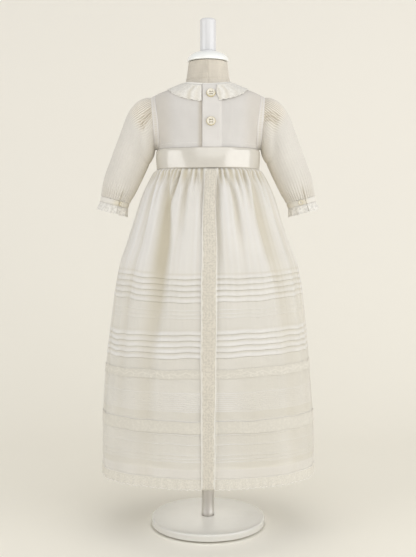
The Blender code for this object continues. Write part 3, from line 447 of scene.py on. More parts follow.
# Curves and sections
def smooth_curve(places, values, at):
    """Values on a smooth curve with no overshoot through a table's places."""
    places = np.asarray(places, float)
    values = np.asarray(values, float)
    steps = np.diff(places)
    slopes = np.diff(values) / steps
    product = slopes[:-1] * slopes[1:]
    total = slopes[:-1] + slopes[1:]
    inner = np.where(product > 0.0, 2.0 * product / np.where(total == 0.0, 1.0, total), 0.0)
    tangents = np.concatenate(([slopes[0]], inner, [slopes[-1]]))
    at = np.clip(at, places[0], places[-1])
    k = np.clip(np.searchsorted(places, at, side="right") - 1, 0, len(steps) - 1)
    span = steps[k]
    t = (at - places[k]) / span
    start = (1 + 2 * t) * (1 - t) ** 2 * values[k] + t * (1 - t) ** 2 * span * tangents[k]
    return start + t * t * (3 - 2 * t) * values[k + 1] - t * t * (1 - t) * span * tangents[k + 1]


def smooth_value(rows, column, height):
    return smooth_curve([r.height for r in rows], [getattr(r, column) for r in rows], height)


def smooth_step(low, high, value):
    """Rise softly from 0 at low to 1 at high."""
    t = np.clip((value - low) / (high - low), 0.0, 1.0)
    return t * t * (3 - 2 * t)


def bump(value, centre, width):
    """A soft hump, 1 at its centre."""
    return np.exp(-((value - centre) / width) ** 2)


def window(value, start, full, fade, end):
    """Rise softly from 0 at start to 1 at full, and fall from fade to 0 at end."""
    return smooth_step(start, full, value) * smooth_step(end, fade, value)


def sine(angle):
    return np.sin(np.radians(angle))


def cosine(angle):
    return np.cos(np.radians(angle))


def full_turn(count, whole=2 * np.pi):
    """Angles spread evenly over a whole turn."""
    return whole * np.arange(count) / count


def whipping(count):
    """The swing of a thread that is wound over columns of points, from -1 to 1."""
    return np.cos(2 * np.pi * np.arange(count) / WHIP_COLUMNS)


def unit(vectors):
    return vectors / np.maximum(np.linalg.norm(vectors, axis=-1, keepdims=True), 1e-12)


def oval_point(half_width, half_depth, power, angle):
    """A rounded oval's x and y, its angle from -Y towards +X."""
    across, along = sine(angle), cosine(angle)
    scale = (np.abs(across) ** power + np.abs(along) ** power) ** (-1.0 / power)
    return across * scale * half_width, -along * scale * half_depth


def body_point(angle, height):
    """Points on the form's surface."""
    angle, height = np.broadcast_arrays(np.asarray(angle, float), np.asarray(height, float))
    back = smooth_value(BODY, "back", height)
    front = smooth_value(BODY, "front", height)
    half_depth = np.where(cosine(angle) > 0.0, back, front)
    half_width = smooth_value(BODY, "half_width", height)
    x, y = oval_point(half_width, half_depth, smooth_value(BODY, "power", height), angle)
    return np.stack((x, y, height), -1)


def body_normal(angle, height):
    turn, lift = 0.5, 0.0004
    around = body_point(angle + turn, height) - body_point(angle - turn, height)
    upward = body_point(angle, height + lift) - body_point(angle, height - lift)
    return unit(np.cross(around, upward))


def over_body(angle, height, offset):
    """Points that lie the offset outside the form."""
    offset = np.asarray(offset, float)
    return body_point(angle, height) + offset[..., None] * body_normal(angle, height)


def bodice_ease(height):
    return smooth_value(EASE, "gap", height)


def neckline(angle):
    along = cosine(angle)
    return NECK_SIDE - np.where(along > 0.0, NECK_DROP_BACK, NECK_DROP_FRONT) * along * along


def solve_angle(coordinate, target, low, high):
    """Angles at which a rising coordinate reaches its target."""
    low, high = np.full(np.shape(target), float(low)), np.full(np.shape(target), float(high))
    for _ in range(40):
        middle = 0.5 * (low + high)
        below = coordinate(middle) < target
        low, high = np.where(below, middle, low), np.where(below, high, middle)
    return 0.5 * (low + high)


def angle_at_x(x, height):
    x, height = np.broadcast_arrays(np.asarray(x, float), np.asarray(height, float))
    return solve_angle(lambda angle: body_point(angle, height)[..., 0], x, -89.9, 89.9)


def angle_at_depth(depth, height, front):
    """Angles on the +X side where the surface is this far from the side line."""
    if front:
        return solve_angle(lambda a: body_point(a, height)[..., 1], depth, 90.0, 179.9)
    return solve_angle(lambda a: body_point(a, height)[..., 1], -depth, 0.1, 90.0)


def crease_out(across, up, creases):
    """How far soft creases move points out, from their place on a panel."""
    total = np.zeros(np.broadcast(across, up).shape)
    for x, z, end_x, end_z, width, out in creases:
        run, climb = end_x - x, end_z - z
        t = ((across - x) * run + (up - z) * climb) / (run * run + climb * climb)
        t = np.clip(t, 0.0, 1.0)
        away = np.hypot(across - x - t * run, up - z - t * climb)
        total += out * np.sin(np.pi * (0.1 + 0.8 * t)) * bump(away, 0.0, width)
    return total


# Meshes
def grid_mesh(name, grid, closed=False, tone=(0.5, 0.0)):
    """Quads over a grid of points whose rows run down. Its UV map Cloth is in metres, and its
    UV map Tone says how light and how deep in a fold each point is."""
    rows, columns = grid.shape[:2]
    index = np.arange(rows * columns).reshape(rows, columns)
    ahead = np.roll(index, -1, 1) if closed else index[:, 1:]
    here = index if closed else index[:, :-1]
    corners = np.stack((here[:-1], here[1:], ahead[1:], ahead[:-1]), -1).reshape(-1, 4)
    points = grid.reshape(-1, 3)
    first = points[corners]
    normals = np.cross(first[:, 1] - first[:, 0], first[:, 3] - first[:, 0])
    if closed:
        middle = np.broadcast_to(grid.mean(1, keepdims=True), grid.shape)
    else:
        middle = grid * np.array((0.0, 0.0, 1.0)) - np.array((0.0, 0.0, 0.02))
    outward = first[:, 0] - middle.reshape(-1, 3)[corners[:, 0]]
    order = (0, 3, 2, 1) if (normals * outward).sum() < 0.0 else (0, 1, 2, 3)
    mesh = bpy.data.meshes.new(name)
    mesh.from_pydata(points.tolist(), [], corners[:, order].tolist())
    mesh.update()
    u, v = cloth_lengths(grid, closed)
    us = np.broadcast_to(np.stack((u[:-1], u[:-1], u[1:], u[1:]), -1)[None],
                         (rows - 1, len(u) - 1, 4)).reshape(-1, 4)
    vs = np.broadcast_to(np.stack((v[:-1], v[1:], v[1:], v[:-1]), -1)[:, None],
                         (rows - 1, len(u) - 1, 4)).reshape(-1, 4)
    light, deep = (np.broadcast_to(value, (rows, columns)).ravel()[corners] for value in tone)
    for label, pair in (("Cloth", (us, vs)), ("Tone", (light, deep))):
        values = np.stack(pair, -1)[:, order].astype(np.float32)
        mesh.uv_layers.new(name=label).uv.foreach_set("vector", values.ravel())
    mesh.shade_smooth()
    return mesh


def cloth_lengths(grid, closed):
    """Mean lengths across and down a grid, as the cloth's own coordinates."""
    around = np.concatenate((grid, grid[:, :1]), 1) if closed else grid
    across = np.linalg.norm(np.diff(around, axis=1), axis=-1).mean(0)
    down = np.linalg.norm(np.diff(grid, axis=0), axis=-1).mean(1)
    return np.concatenate(([0.0], across.cumsum())), np.concatenate(([0.0], -down.cumsum()))


def ring_faces(count, sides, closed=False):
    """Faces between rings of points, with a cap on each end ring unless the two meet."""
    index = np.arange(count * sides).reshape(count, sides)
    if closed:
        index = np.concatenate((index, index[:1]))
    ahead = np.roll(index, -1, 1)
    faces = np.stack((index[:-1], index[1:], ahead[1:], ahead[:-1]), -1).reshape(-1, 4).tolist()
    return faces if closed else faces + [index[0].tolist(), index[-1][::-1].tolist()]


def tube_parts(path, radii, sides=8, closed=False):
    """A tube round a path, with its ends closed where the path is open."""
    radii = np.broadcast_to(np.asarray(radii, float), (len(path),))
    ahead = np.roll(path, -1, 0) if closed else np.concatenate((path[1:], path[-1:]))
    behind = np.roll(path, 1, 0) if closed else np.concatenate((path[:1], path[:-1]))
    along = unit(ahead - behind)
    guide = np.where(np.abs(along[:, 2:]) > 0.9, (1.0, 0.0, 0.0), (0.0, 0.0, 1.0))
    side = unit(np.cross(along, guide))
    up = np.cross(side, along)
    turn = full_turn(sides)[None, :, None]
    ring = np.cos(turn) * side[:, None] + np.sin(turn) * up[:, None]
    grid = path[:, None] + radii[:, None, None] * ring
    return grid.reshape(-1, 3), ring_faces(len(path), sides, closed)


def joined_mesh(name, parts):
    """One mesh from several lists of points and faces."""
    points, faces, start = [], [], 0
    for part_points, part_faces in parts:
        points.extend(np.asarray(part_points).tolist())
        faces.extend([[start + i for i in face] for face in part_faces])
        start += len(part_points)
    mesh = bpy.data.meshes.new(name)
    mesh.from_pydata(points, [], faces)
    mesh.update()
    mesh.shade_smooth()
    return mesh


def turned_mesh(name, profile, steps=96):
    """A turned solid from a profile of radius and height, top first."""
    profile = np.asarray(profile, float)
    turn = full_turn(steps)
    grid = np.stack((np.cos(turn) * profile[:, :1], np.sin(turn) * profile[:, :1],
                     np.broadcast_to(profile[:, 1:], (len(profile), steps))), -1)
    mesh = joined_mesh(name, [(grid.reshape(-1, 3), ring_faces(len(profile), steps))])
    mesh.set_sharp_from_angle(angle=SHARP_EDGE)
    return mesh


def fix_normals(mesh, rings=()):
    """Close the rings of points that are given, and turn every face outwards."""
    bm = bmesh.new()
    bm.from_mesh(mesh)
    bm.verts.ensure_lookup_table()
    for ring in rings:
        bm.faces.new([bm.verts[i] for i in ring])
    bmesh.ops.recalc_face_normals(bm, faces=bm.faces)
    bm.to_mesh(mesh)
    bm.free()


def add_object(name, data):
    made = bpy.data.objects.new(name, data)
    bpy.context.scene.collection.objects.link(made)
    return made


def make_piece(name, mesh, finish, nodes=(), thick=0.0, matrix=None):
    """A piece that rides on the root body, stands for its solids and takes a material slot."""
    mesh.materials.append(material(finish))
    piece = add_object(name, mesh)
    if matrix is not None:
        mesh.transform(matrix)
    if thick:
        wall = piece.modifiers.new("Thickness", "SOLIDIFY")
        wall.thickness = thick
        wall.offset = -1.0
    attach(piece, "root")
    if nodes:
        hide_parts(*nodes)
    return piece


def cloth_piece(name, grid, finish, node, thick=0.0, closed=False, tone=(0.5, 0.0)):
    """A cloth from a grid of points, closed where the grid runs all the way round."""
    return make_piece(name, grid_mesh(name, grid, closed, tone), finish, [node], thick)


def thread_piece(name, parts, finish="Thread", matrix=None):
    """Stitches, cords or picots joined to one piece."""
    return make_piece(name, joined_mesh(name, parts), finish, matrix=matrix)


def run_along(path):
    """How far along a path each of its points lies."""
    return np.concatenate(([0.0], np.linalg.norm(np.diff(path, axis=0), axis=1).cumsum()))


def points_at(path, run, at):
    """Points of a path, or directions kept along it, at distances along it."""
    return np.stack([np.interp(at, run, path[:, axis]) for axis in range(3)], -1)


def capsules(path, normals, length, share=STITCH_SHARE, radius=STITCH_RADIUS):
    """Short stitches along a path, each a little thread pulled down at both ends."""
    run = run_along(path)
    count = max(int(run[-1] / length), 1)
    spread = np.array((-0.5, -0.38, 0.0, 0.38, 0.5)) * share
    lift = np.array((-0.9, 0.15, 0.45, 0.15, -0.9)) * radius
    radii = np.array((0.45, 0.9, 1.0, 0.9, 0.45)) * radius
    parts = []
    for k in range(count):
        at = (k + 0.5 + spread) * run[-1] / count
        line = points_at(path, run, at) + lift[:, None] * unit(points_at(normals, run, at))
        parts.append(tube_parts(line, radii, 5))
    return parts


def body_stitches(angle, height, out, share=STITCH_SHARE, radius=STITCH_RADIUS):
    """Machine stitches on a line that lies this far outside the form."""
    return capsules(over_body(angle, height, out), body_normal(angle, height),
                    sizes().stitch_length, share, radius)


def picots(path, outward, pitch, reach, radius):
    """Small thread loops along an edge, on points that step down it."""
    run = run_along(path)
    count = max(int(run[-1] / pitch), 1)
    turn = np.linspace(0.0, np.pi, 7)
    out = (reach * np.sin(turn) - 0.3 * radius)[:, None]
    parts = []
    for k in range(count):
        at = (k + 0.5 - 0.42 * np.cos(turn)) * run[-1] / count
        line = points_at(path, run, at) + out * unit(points_at(outward, run, at))
        parts.append(tube_parts(line, radius, 5))
    return parts


# Shader building
class Graph:
    """Adds nodes to a tree, wiring what is given as a socket and setting what isn't."""

    def __init__(self, tree):
        self.tree = tree

    def node(self, kind, values=None, **settings):
        made = self.tree.nodes.new("ShaderNode" + kind)
        for key, value in settings.items():
            setattr(made, key, value)
        self.feed(made, values or {})
        return made

    def feed(self, node, values):
        for socket, value in values.items():
            if isinstance(value, bpy.types.NodeSocket):
                self.tree.links.new(value, node.inputs[socket])
            else:
                node.inputs[socket].default_value = value

    def math(self, operation, first, second=0.0, third=0.0, clamp=False):
        values = {0: first, 1: second, 2: third}
        return self.node("Math", values, operation=operation, use_clamp=clamp).outputs[0]

    def ramp(self, value, low, high, start=0.0, end=1.0):
        """A soft step from start to end as the value goes from low to high."""
        values = {"Value": value, "From Min": low, "From Max": high, "To Min": start, "To Max": end}
        return self.node("MapRange", values, interpolation_type="SMOOTHSTEP").outputs[0]

    def mix(self, factor, first, second):
        values = {0: factor, 6: first, 7: second}
        return self.node("Mix", values, data_type="RGBA").outputs[2]

    def split(self, vector):
        return self.node("SeparateXYZ", {"Vector": vector}).outputs

    def tone_map(self):
        """How light a place is and how deep it lies in a fold."""
        return self.node("UVMap", uv_map="Tone").outputs["UV"]

    def place(self):
        """Where a point lies on its piece."""
        return self.node("TexCoord").outputs["Object"]

    def scaled(self, vector, scale):
        """A vector or a colour times one value."""
        return self.node("VectorMath", {0: vector, "Scale": scale}, operation="SCALE").outputs[0]

    def stretched(self, vector, scale):
        """A vector times a scale for each axis."""
        return self.node("VectorMath", {0: vector, 1: scale}, operation="MULTIPLY").outputs[0]

    def noise(self, vector, scale, detail=2.0, roughness=0.5):
        values = {"Vector": vector, "Scale": scale, "Detail": detail, "Roughness": roughness}
        return self.node("TexNoise", values).outputs[0]

    def group(self, name, values):
        made = self.node("Group")
        made.node_tree = GROUPS[name]()
        self.feed(made, values)
        return made.outputs


def begin_group(name, inputs, outputs):
    tree = bpy.data.node_groups.new(name, "ShaderNodeTree")
    for label, kind, default in inputs:
        socket = tree.interface.new_socket(label, in_out="INPUT", socket_type="NodeSocket" + kind)
        if default is not None:
            socket.default_value = default
    for label, kind in outputs:
        tree.interface.new_socket(label, in_out="OUTPUT", socket_type="NodeSocket" + kind)
    source = tree.nodes.new("NodeGroupInput")
    target = tree.nodes.new("NodeGroupOutput")
    return tree, Graph(tree), source.outputs, target


def kept_group(build):
    """The group that a function builds, built once."""
    def found():
        name = build.__doc__.split(":")[0]
        return bpy.data.node_groups.get(name) or build(name)
    return found


@kept_group
def weave_group(name):
    """Plain Weave: crossing threads with slubs, from cloth coordinates in metres."""
    tree, g, given, target = begin_group(
        name,
        (("Vector", "Vector", None), ("Pitch", "Float", 0.0005), ("Slub", "Float", 0.5)),
        (("Height", "Float"), ("Shade", "Float"), ("Opening", "Float")))
    parts = g.split(given["Vector"])
    waves, cells = [], []
    for axis in (0, 1):
        count = g.math("DIVIDE", parts[axis], given["Pitch"])
        waves.append(g.math("ABSOLUTE", g.math("SINE", g.math("MULTIPLY", count, math.pi))))
        cells.append(g.math("FLOOR", count))
    odd = g.math("PINGPONG", g.math("ADD", cells[0], cells[1]), 1.0)
    warp = g.math("MULTIPLY", waves[0], g.math("MULTIPLY_ADD", waves[1], 0.4, 0.6))
    weft = g.math("MULTIPLY", waves[1], g.math("MULTIPLY_ADD", waves[0], 0.4, 0.6))
    warp_over = g.math("MULTIPLY", warp, odd)
    weft_over = g.math("MULTIPLY", weft, g.math("SUBTRACT", 1.0, odd))
    height = g.math("ADD", warp_over, weft_over)
    down = g.noise(g.stretched(given["Vector"], (420.0, 14.0, 1.0)), 1.0)
    over = g.noise(g.stretched(given["Vector"], (12.0, 380.0, 1.0)), 1.0)
    slub = g.math("MULTIPLY", g.math("SUBTRACT", g.math("ADD", down, over), 1.0), given["Slub"])
    g.feed(target, {
        "Height": g.math("ADD", height, slub),
        "Shade": g.math("ADD", 0.5, slub, clamp=True),
        "Opening": g.math("SUBTRACT", 1.0, g.math("MAXIMUM", waves[0], waves[1]), clamp=True)})
    return tree


@kept_group
def mottle_group(name):
    """Soft Mottle: slow changes of shade over a piece, from cloth coordinates in metres."""
    tree, g, given, target = begin_group(
        name, (("Vector", "Vector", None), ("Patch", "Float", 0.05)), (("Shade", "Float"),))
    scale = g.math("DIVIDE", 1.0, given["Patch"])
    broad = g.noise(given["Vector"], scale, 3.0, 0.55)
    g.feed(target, {"Shade": g.ramp(broad, 0.3, 0.7)})
    return tree


@kept_group
def net_group(name):
    """Lace Net: the threads of a twisted net ground, from cloth coordinates in metres."""
    tree, g, given, target = begin_group(
        name, (("Vector", "Vector", None), ("Cell", "Float", 0.0016), ("Thread", "Float", 0.12)),
        (("Threads", "Float"), ("Height", "Float")))
    scale = g.math("DIVIDE", 1.0, given["Cell"])
    values = {"Vector": given["Vector"], "Scale": scale, "Randomness": 0.45}
    edge = g.node("TexVoronoi", values, feature="DISTANCE_TO_EDGE",
                  voronoi_dimensions="2D").outputs["Distance"]
    threads = g.ramp(edge, given["Thread"], g.math("MULTIPLY", given["Thread"], 0.4))
    g.feed(target, {"Threads": threads, "Height": g.ramp(edge, given["Thread"], 0.0)})
    return tree


@kept_group
def flower_group(name):
    """Lace Flowers: five-petalled sprigs joined by curling stems, in metres."""
    tree, g, given, target = begin_group(
        name,
        (("Vector", "Vector", None), ("Spacing", "Float", 0.010), ("Size", "Float", 0.42),
         ("Stem", "Float", 0.035)),
        (("Motif", "Float"), ("Height", "Float")))
    scale = g.math("DIVIDE", 1.0, given["Spacing"])
    scaled = g.scaled(given["Vector"], scale)
    values = {"Vector": scaled, "Scale": 1.0, "Randomness": 0.55}
    cell = g.node("TexVoronoi", values, voronoi_dimensions="2D").outputs
    place = g.node("VectorMath", {0: scaled, 1: cell["Position"]}, operation="SUBTRACT").outputs[0]
    parts = g.split(place)
    turn = g.math("ARCTAN2", parts[1], parts[0])
    petal = g.math("COSINE", g.math("MULTIPLY", turn, 5.0))
    reach = g.math("MULTIPLY", given["Size"], g.math("MULTIPLY_ADD", petal, 0.22, 0.78))
    share = g.math("DIVIDE", cell["Distance"], reach)
    flower = g.ramp(share, 1.0, 0.86)
    eye = g.ramp(share, 0.20, 0.28)
    wander = g.noise(scaled, 0.9, 1.0)
    stem = g.ramp(g.math("ABSOLUTE", g.math("SUBTRACT", wander, 0.5)), given["Stem"],
                  g.math("MULTIPLY", given["Stem"], 0.5))
    motif = g.math("MAXIMUM", g.math("MULTIPLY", flower, eye), stem)
    rim = g.math("MULTIPLY", flower, g.ramp(share, 0.55, 0.95))
    g.feed(target, {"Motif": motif, "Height": g.math("MULTIPLY_ADD", rim, 0.5, motif)})
    return tree


@kept_group
def zigzag_group(name):
    """Lace Zigzag: a thick thread that runs to and fro across a band, in metres."""
    tree, g, given, target = begin_group(
        name,
        (("Vector", "Vector", None), ("Period", "Float", 0.020), ("Rise", "Float", 0.008),
         ("Middle", "Float", -0.0075), ("Thread", "Float", 0.0016)),
        (("Motif", "Float"),))
    parts = g.split(given["Vector"])
    share = g.math("PINGPONG", g.math("DIVIDE", parts[0], given["Period"]), 0.5)
    line = g.math("MULTIPLY_ADD", g.math("MULTIPLY_ADD", share, 2.0, -0.5), given["Rise"],
                  given["Middle"])
    away = g.math("ABSOLUTE", g.math("SUBTRACT", parts[1], line))
    inner = g.math("MULTIPLY", given["Thread"], 0.6)
    g.feed(target, {"Motif": g.ramp(away, given["Thread"], inner)})
    return tree


@kept_group
def scuff_group(name):
    """Fine Scuffs: faint dust and rubbed spots on a painted or polished surface."""
    tree, g, given, target = begin_group(
        name, (("Vector", "Vector", None), ("Amount", "Float", 0.3)),
        (("Dust", "Float"), ("Height", "Float")))
    broad = g.noise(given["Vector"], 22.0, 4.0, 0.6)
    fine = g.noise(given["Vector"], 260.0, 2.0)
    dust = g.math("MULTIPLY", g.ramp(broad, 0.45, 0.75), given["Amount"])
    g.feed(target, {"Dust": dust, "Height": fine})
    return tree


@kept_group
def tone_group(name):
    """Cloth Tone: colour by a piece's Tone map, for layers of cloth and for folds."""
    tree, g, given, target = begin_group(
        name,
        (("Vector", "Vector", None), ("Thin", "Color", None), ("Thick", "Color", None),
         ("Valley", "Color", None), ("Shade", "Float", 0.5), ("Contrast", "Float", 0.05)),
        (("Color", "Color"),))
    parts = g.split(given["Vector"])
    # The first value mixes the layers of cloth with painted light, and the second lays in the
    # painted shade of folds.
    cloth = g.mix(parts[0], given["Thin"], given["Thick"])
    cloth = g.mix(parts[1], cloth, given["Valley"])
    swing = g.math("MULTIPLY", g.math("SUBTRACT", given["Shade"], 0.5), given["Contrast"])
    factor = g.math("MULTIPLY_ADD", swing, 2.0, 1.0)
    g.feed(target, {"Color": g.scaled(cloth, factor)})
    return tree


@kept_group
def streak_group(name):
    """Hanging Streaks: faint long creases down a hanging cloth, in metres."""
    tree, g, given, target = begin_group(
        name, (("Vector", "Vector", None), ("Spacing", "Float", 0.008)), (("Height", "Float"),))
    scale = g.math("DIVIDE", 1.0, given["Spacing"])
    low = g.node("CombineXYZ", {"X": scale, "Y": g.math("MULTIPLY", scale, 0.035)}).outputs[0]
    g.feed(target, {"Height": g.noise(g.stretched(given["Vector"], low), 1.0, 2.0)})
    return tree


GROUPS = {
    "weave": weave_group, "mottle": mottle_group, "net": net_group, "flower": flower_group,
    "zigzag": zigzag_group, "scuff": scuff_group, "tone": tone_group, "streak": streak_group,
}


def rgba(colour, shade=1.0):
    return (*(min(c * shade, 1.0) for c in colour), 1.0)


def tinted(colour, tint):
    return rgba([c * share for c, share in zip(colour, tint)])


def start_material(name, roughness, sheen=0.0):
    """A new material with its graph, its Principled BSDF and its cloth coordinates."""
    material = bpy.data.materials.new(name)
    material.use_nodes = True
    shader = material.node_tree.nodes["Principled BSDF"]
    graph = Graph(material.node_tree)
    graph.feed(shader, {"Roughness": roughness})
    if sheen:
        graph.feed(shader, {"Sheen Weight": sheen, "Sheen Roughness": 0.45})
    vector = graph.node("UVMap", uv_map="Cloth").outputs["UV"]
    return material, graph, shader, vector


def finish_shader(graph, shader, colour, height, distance, alpha=None, roughness=None):
    """Wire a finish's colour and bump, and its alpha and roughness where they are given."""
    bumped = graph.node("Bump", {"Height": height, "Strength": 0.8, "Distance": distance})
    values = {"Base Color": colour, "Normal": bumped.outputs["Normal"], "Alpha": alpha,
              "Roughness": roughness}
    graph.feed(shader, {key: value for key, value in values.items() if value is not None})


def cloth_material(name, colour, pitch=0.0005, slub=0.5, contrast=0.05, thin=(0.95, 0.95, 0.95),
                   thick=(1.05, 1.05, 1.05), valley=(0.92, 0.89, 0.80), cover=None,
                   roughness=0.85, sheen=0.15, bump_height=0.00008, patch=0.05, streak=0.0):
    """A woven cloth: thin, thick and valley tint its lone layer, its layered places and its
    folds; cover is how much of the view an open weave hides, streak the height of its hanging
    creases."""
    material, g, shader, vector = start_material(name, roughness, sheen)
    weave = g.group("weave", {"Vector": vector, "Pitch": pitch, "Slub": slub})
    mottle = g.group("mottle", {"Vector": vector, "Patch": patch})["Shade"]
    shade = g.math("MULTIPLY_ADD", mottle, 0.5, g.math("MULTIPLY", weave["Shade"], 0.5))
    tints = {label: tinted(colour, tint)
             for label, tint in (("Thin", thin), ("Thick", thick), ("Valley", valley))}
    tone = g.group("tone", {"Vector": g.tone_map(),
                            "Shade": shade, "Contrast": contrast, **tints})["Color"]
    alpha, height = None, weave["Height"]
    if cover is not None:
        alpha = g.ramp(weave["Opening"], 0.0, 0.8, min(cover + 0.06, 1.0), cover - 0.12)
    if streak:
        hang = g.group("streak", {"Vector": vector, "Spacing": 0.005})["Height"]
        height = g.math("MULTIPLY_ADD", hang, streak / bump_height, height)
    finish_shader(g, shader, tone, height, bump_height, alpha)
    return material


def lace_material(name, colour, cell=0.0012, thread=0.16, spacing=0.0060, size=0.42, stem=0.05,
                  hole=0.95, zigzag=None, ground=0.93, motif_light=1.03):
    """Net with flower sprigs; hole is how much of the view an empty mesh hides, and ground and
    motif_light say how light the net and the sprigs are."""
    material, g, shader, vector = start_material(name, 0.85, 0.1)
    net = g.group("net", {"Vector": vector, "Cell": cell, "Thread": thread})
    flower = g.group("flower", {"Vector": vector, "Spacing": spacing, "Size": size, "Stem": stem})
    motif = flower["Motif"]
    if zigzag:
        line = g.group("zigzag", {"Vector": vector, **zigzag})["Motif"]
        motif = g.math("MAXIMUM", motif, line)
    cover = g.math("MAXIMUM", net["Threads"], motif)
    tone = g.mix(motif, rgba(colour, ground), rgba(colour, motif_light))
    # Painted shade from the Tone map's fold depth, and painted light from its first value.
    parts = g.split(g.tone_map())
    tone = g.mix(parts[1], tone, tinted(colour, (0.80, 0.77, 0.70)))
    factor = g.math("MULTIPLY_ADD", parts[0], 0.8, 0.6)
    tone = g.scaled(tone, factor)
    height = g.math("ADD", g.math("MULTIPLY", net["Height"], 0.4), flower["Height"])
    alpha = g.math("MULTIPLY_ADD", cover, 1.0 - hole, hole)
    finish_shader(g, shader, tone, height, 0.00010, alpha)
    return material


def satin_material(name, colour):
    material, g, shader, vector = start_material(name, 0.24)
    fine = g.noise(g.stretched(vector, (90.0, 2600.0, 1.0)), 1.0)
    broad = g.group("mottle", {"Vector": vector, "Patch": 0.03})["Shade"]
    tone = g.mix(broad, rgba(colour, 0.975), rgba(colour, 1.015))
    rough = g.ramp(fine, 0.3, 0.7, 0.15, 0.22)
    finish_shader(g, shader, tone, fine, 0.00003, roughness=rough)
    g.feed(shader, {"Specular IOR Level": 1.0, "IOR": 1.65})
    return material


def pearl_material(name, colour):
    material, g, shader, _ = start_material(name, 0.22)
    place = g.place()
    swirl = g.noise(place, 420.0, 3.0, 0.6)
    tone = g.mix(g.ramp(swirl, 0.35, 0.65), rgba(colour, 0.90), rgba(colour, 1.15))
    # Painted shade: the rim is darkened and warmed by its distance from the middle.
    away = g.split(g.tone_map())[0]
    tone = g.mix(g.ramp(away, 0.72, 0.96), tone, tinted(colour, (0.74, 0.68, 0.48)))
    finish_shader(g, shader, tone, swirl, 0.00003)
    g.feed(shader, {"Coat Weight": 0.5, "Coat Roughness": 0.1})
    return material


def painted_material(name, colour, roughness, metallic=0.0, brushed=False):
    """Lacquer or steel with faint dust and scuffs."""
    material, g, shader, _ = start_material(name, roughness)
    place = g.place()
    scuff = g.group("scuff", {"Vector": place, "Amount": 0.35})
    height = scuff["Height"]
    if brushed:
        height = g.noise(g.stretched(place, (40.0, 40.0, 2400.0)), 1.0)
    tone = g.mix(scuff["Dust"], rgba(colour), rgba(colour, 0.92))
    rough = g.math("MULTIPLY_ADD", scuff["Dust"], 0.5, roughness)
    finish_shader(g, shader, tone, height, 0.00003, roughness=rough)
    g.feed(shader, {"Metallic": metallic})
    if not brushed:
        g.feed(shader, {"Coat Weight": 1.0, "Coat Roughness": 0.12})
    return material


def thread_material(name, colour):
    material, g, shader, _ = start_material(name, 0.75, 0.1)
    place = g.place()
    twist = g.noise(g.stretched(place, (1800.0, 1800.0, 900.0)), 1.0, 1.0)
    tone = g.mix(twist, rgba(colour, 0.92), rgba(colour, 1.05))
    finish_shader(g, shader, tone, twist, 0.0001)
    return material


def recipe(make, colour, shade=1.0, **settings):
    """How a material is made once a piece asks for it."""
    return lambda name: make(name, [shade * c for c in getattr(colours(), colour)], **settings)


# Painted light and shade: wide tints that let the sleeves' and cuffs' Tone maps lighten their
# undersides and darken their pleats.
SLEEVE_TINTS = {"thin": (0.62, 0.64, 0.70), "thick": (1.38, 1.36, 1.30)}
LACE_WAVE = {"Period": 0.0260, "Rise": 0.0050, "Middle": -0.0076, "Thread": 0.0009}
MATERIALS = {
    # The bodice's valley is painted shade beside the placket's edge and towards the armholes.
    "Cotton": recipe(cloth_material, "cotton", valley=(0.62, 0.54, 0.40)),
    # The placket's valley is the painted shade between the bars of the armhole bands.
    "Placket": recipe(cloth_material, "cotton", 1.08, valley=(0.90, 0.86, 0.76)),
    "Sleeve": recipe(cloth_material, "sleeve", slub=0.7, valley=(0.81, 0.76, 0.67), cover=0.95,
                     streak=0.00012, **SLEEVE_TINTS),
    # Painted light: the cuff is the sleeve's cloth made lighter, and its golden valley is painted
    # shade beside the slit and on the underside.
    "Cuff": recipe(cloth_material, "sleeve", 1.04, valley=(0.90, 0.82, 0.60), **SLEEVE_TINTS),
    # Thin and thick paint light and shade along the tucks and over the skirt as well as its layers,
    # and valley is painted shade in its folds.
    "Organza": recipe(cloth_material, "organza", pitch=0.0006, slub=0.9, contrast=0.04,
                      thin=(0.835, 0.81, 0.735), thick=(1.085, 1.10, 1.17),
                      valley=(0.77, 0.72, 0.60), cover=0.88, roughness=0.7, sheen=0.25,
                      bump_height=0.00010, patch=0.08, streak=0.00020),
    "Lining": recipe(cloth_material, "lining", slub=0.6),
    # Thin and thick paint the linen darker on the left and lighter on the right.
    "Linen": recipe(cloth_material, "linen", pitch=0.0011, slub=1.1, contrast=0.12,
                    thin=(0.96, 0.96, 0.97), thick=(1.11, 1.11, 1.13), roughness=0.9, sheen=0.2,
                    bump_height=0.0003, patch=0.03),
    "Collar lace": recipe(lace_material, "lace", ground=0.97),
    "Cuff lace": recipe(lace_material, "lace", cell=0.0013, hole=0.80),
    "Strip lace": recipe(lace_material, "strip", cell=0.0011, thread=0.20, spacing=0.0046,
                         size=0.38, stem=0.06, hole=0.97, ground=0.925, motif_light=1.065),
    "Zigzag lace": recipe(lace_material, "band", thread=0.14, spacing=0.0110, size=0.20,
                          stem=0.02, hole=0.92, zigzag=LACE_WAVE, ground=0.965,
                          motif_light=1.02),
    "Flower lace": recipe(lace_material, "band", thread=0.14, spacing=0.0090, size=0.30,
                          stem=0.035, ground=0.965, motif_light=0.985),
    "Hem lace": recipe(lace_material, "band", thread=0.18, size=0.30, stem=0.04, hole=0.84,
                       ground=1.0, motif_light=1.015),
    "Satin": recipe(satin_material, "satin"),
    "Pearl": recipe(pearl_material, "pearl"),
    "Lacquer": recipe(painted_material, "lacquer", roughness=0.30),
    # Painted light and shade: the cap's lacquer is the rod's paint made lighter, and the base's is
    # made warmer for painted warm shade and reflection.
    "Cap lacquer": recipe(painted_material, "cap", roughness=0.30),
    "Base lacquer": recipe(painted_material, "base", roughness=0.30),
    "Steel": recipe(painted_material, "steel", roughness=0.34, metallic=0.6, brushed=True),
    "Thread": recipe(thread_material, "thread"),
    # Painted shade: the dark thread stands in for the shade in the button holes.
    "Button thread": recipe(thread_material, "button_thread"),
}


def material(name):
    """A finish by name, made the first time that it is asked for."""
    return bpy.data.materials.get(name) or MATERIALS[name](name)


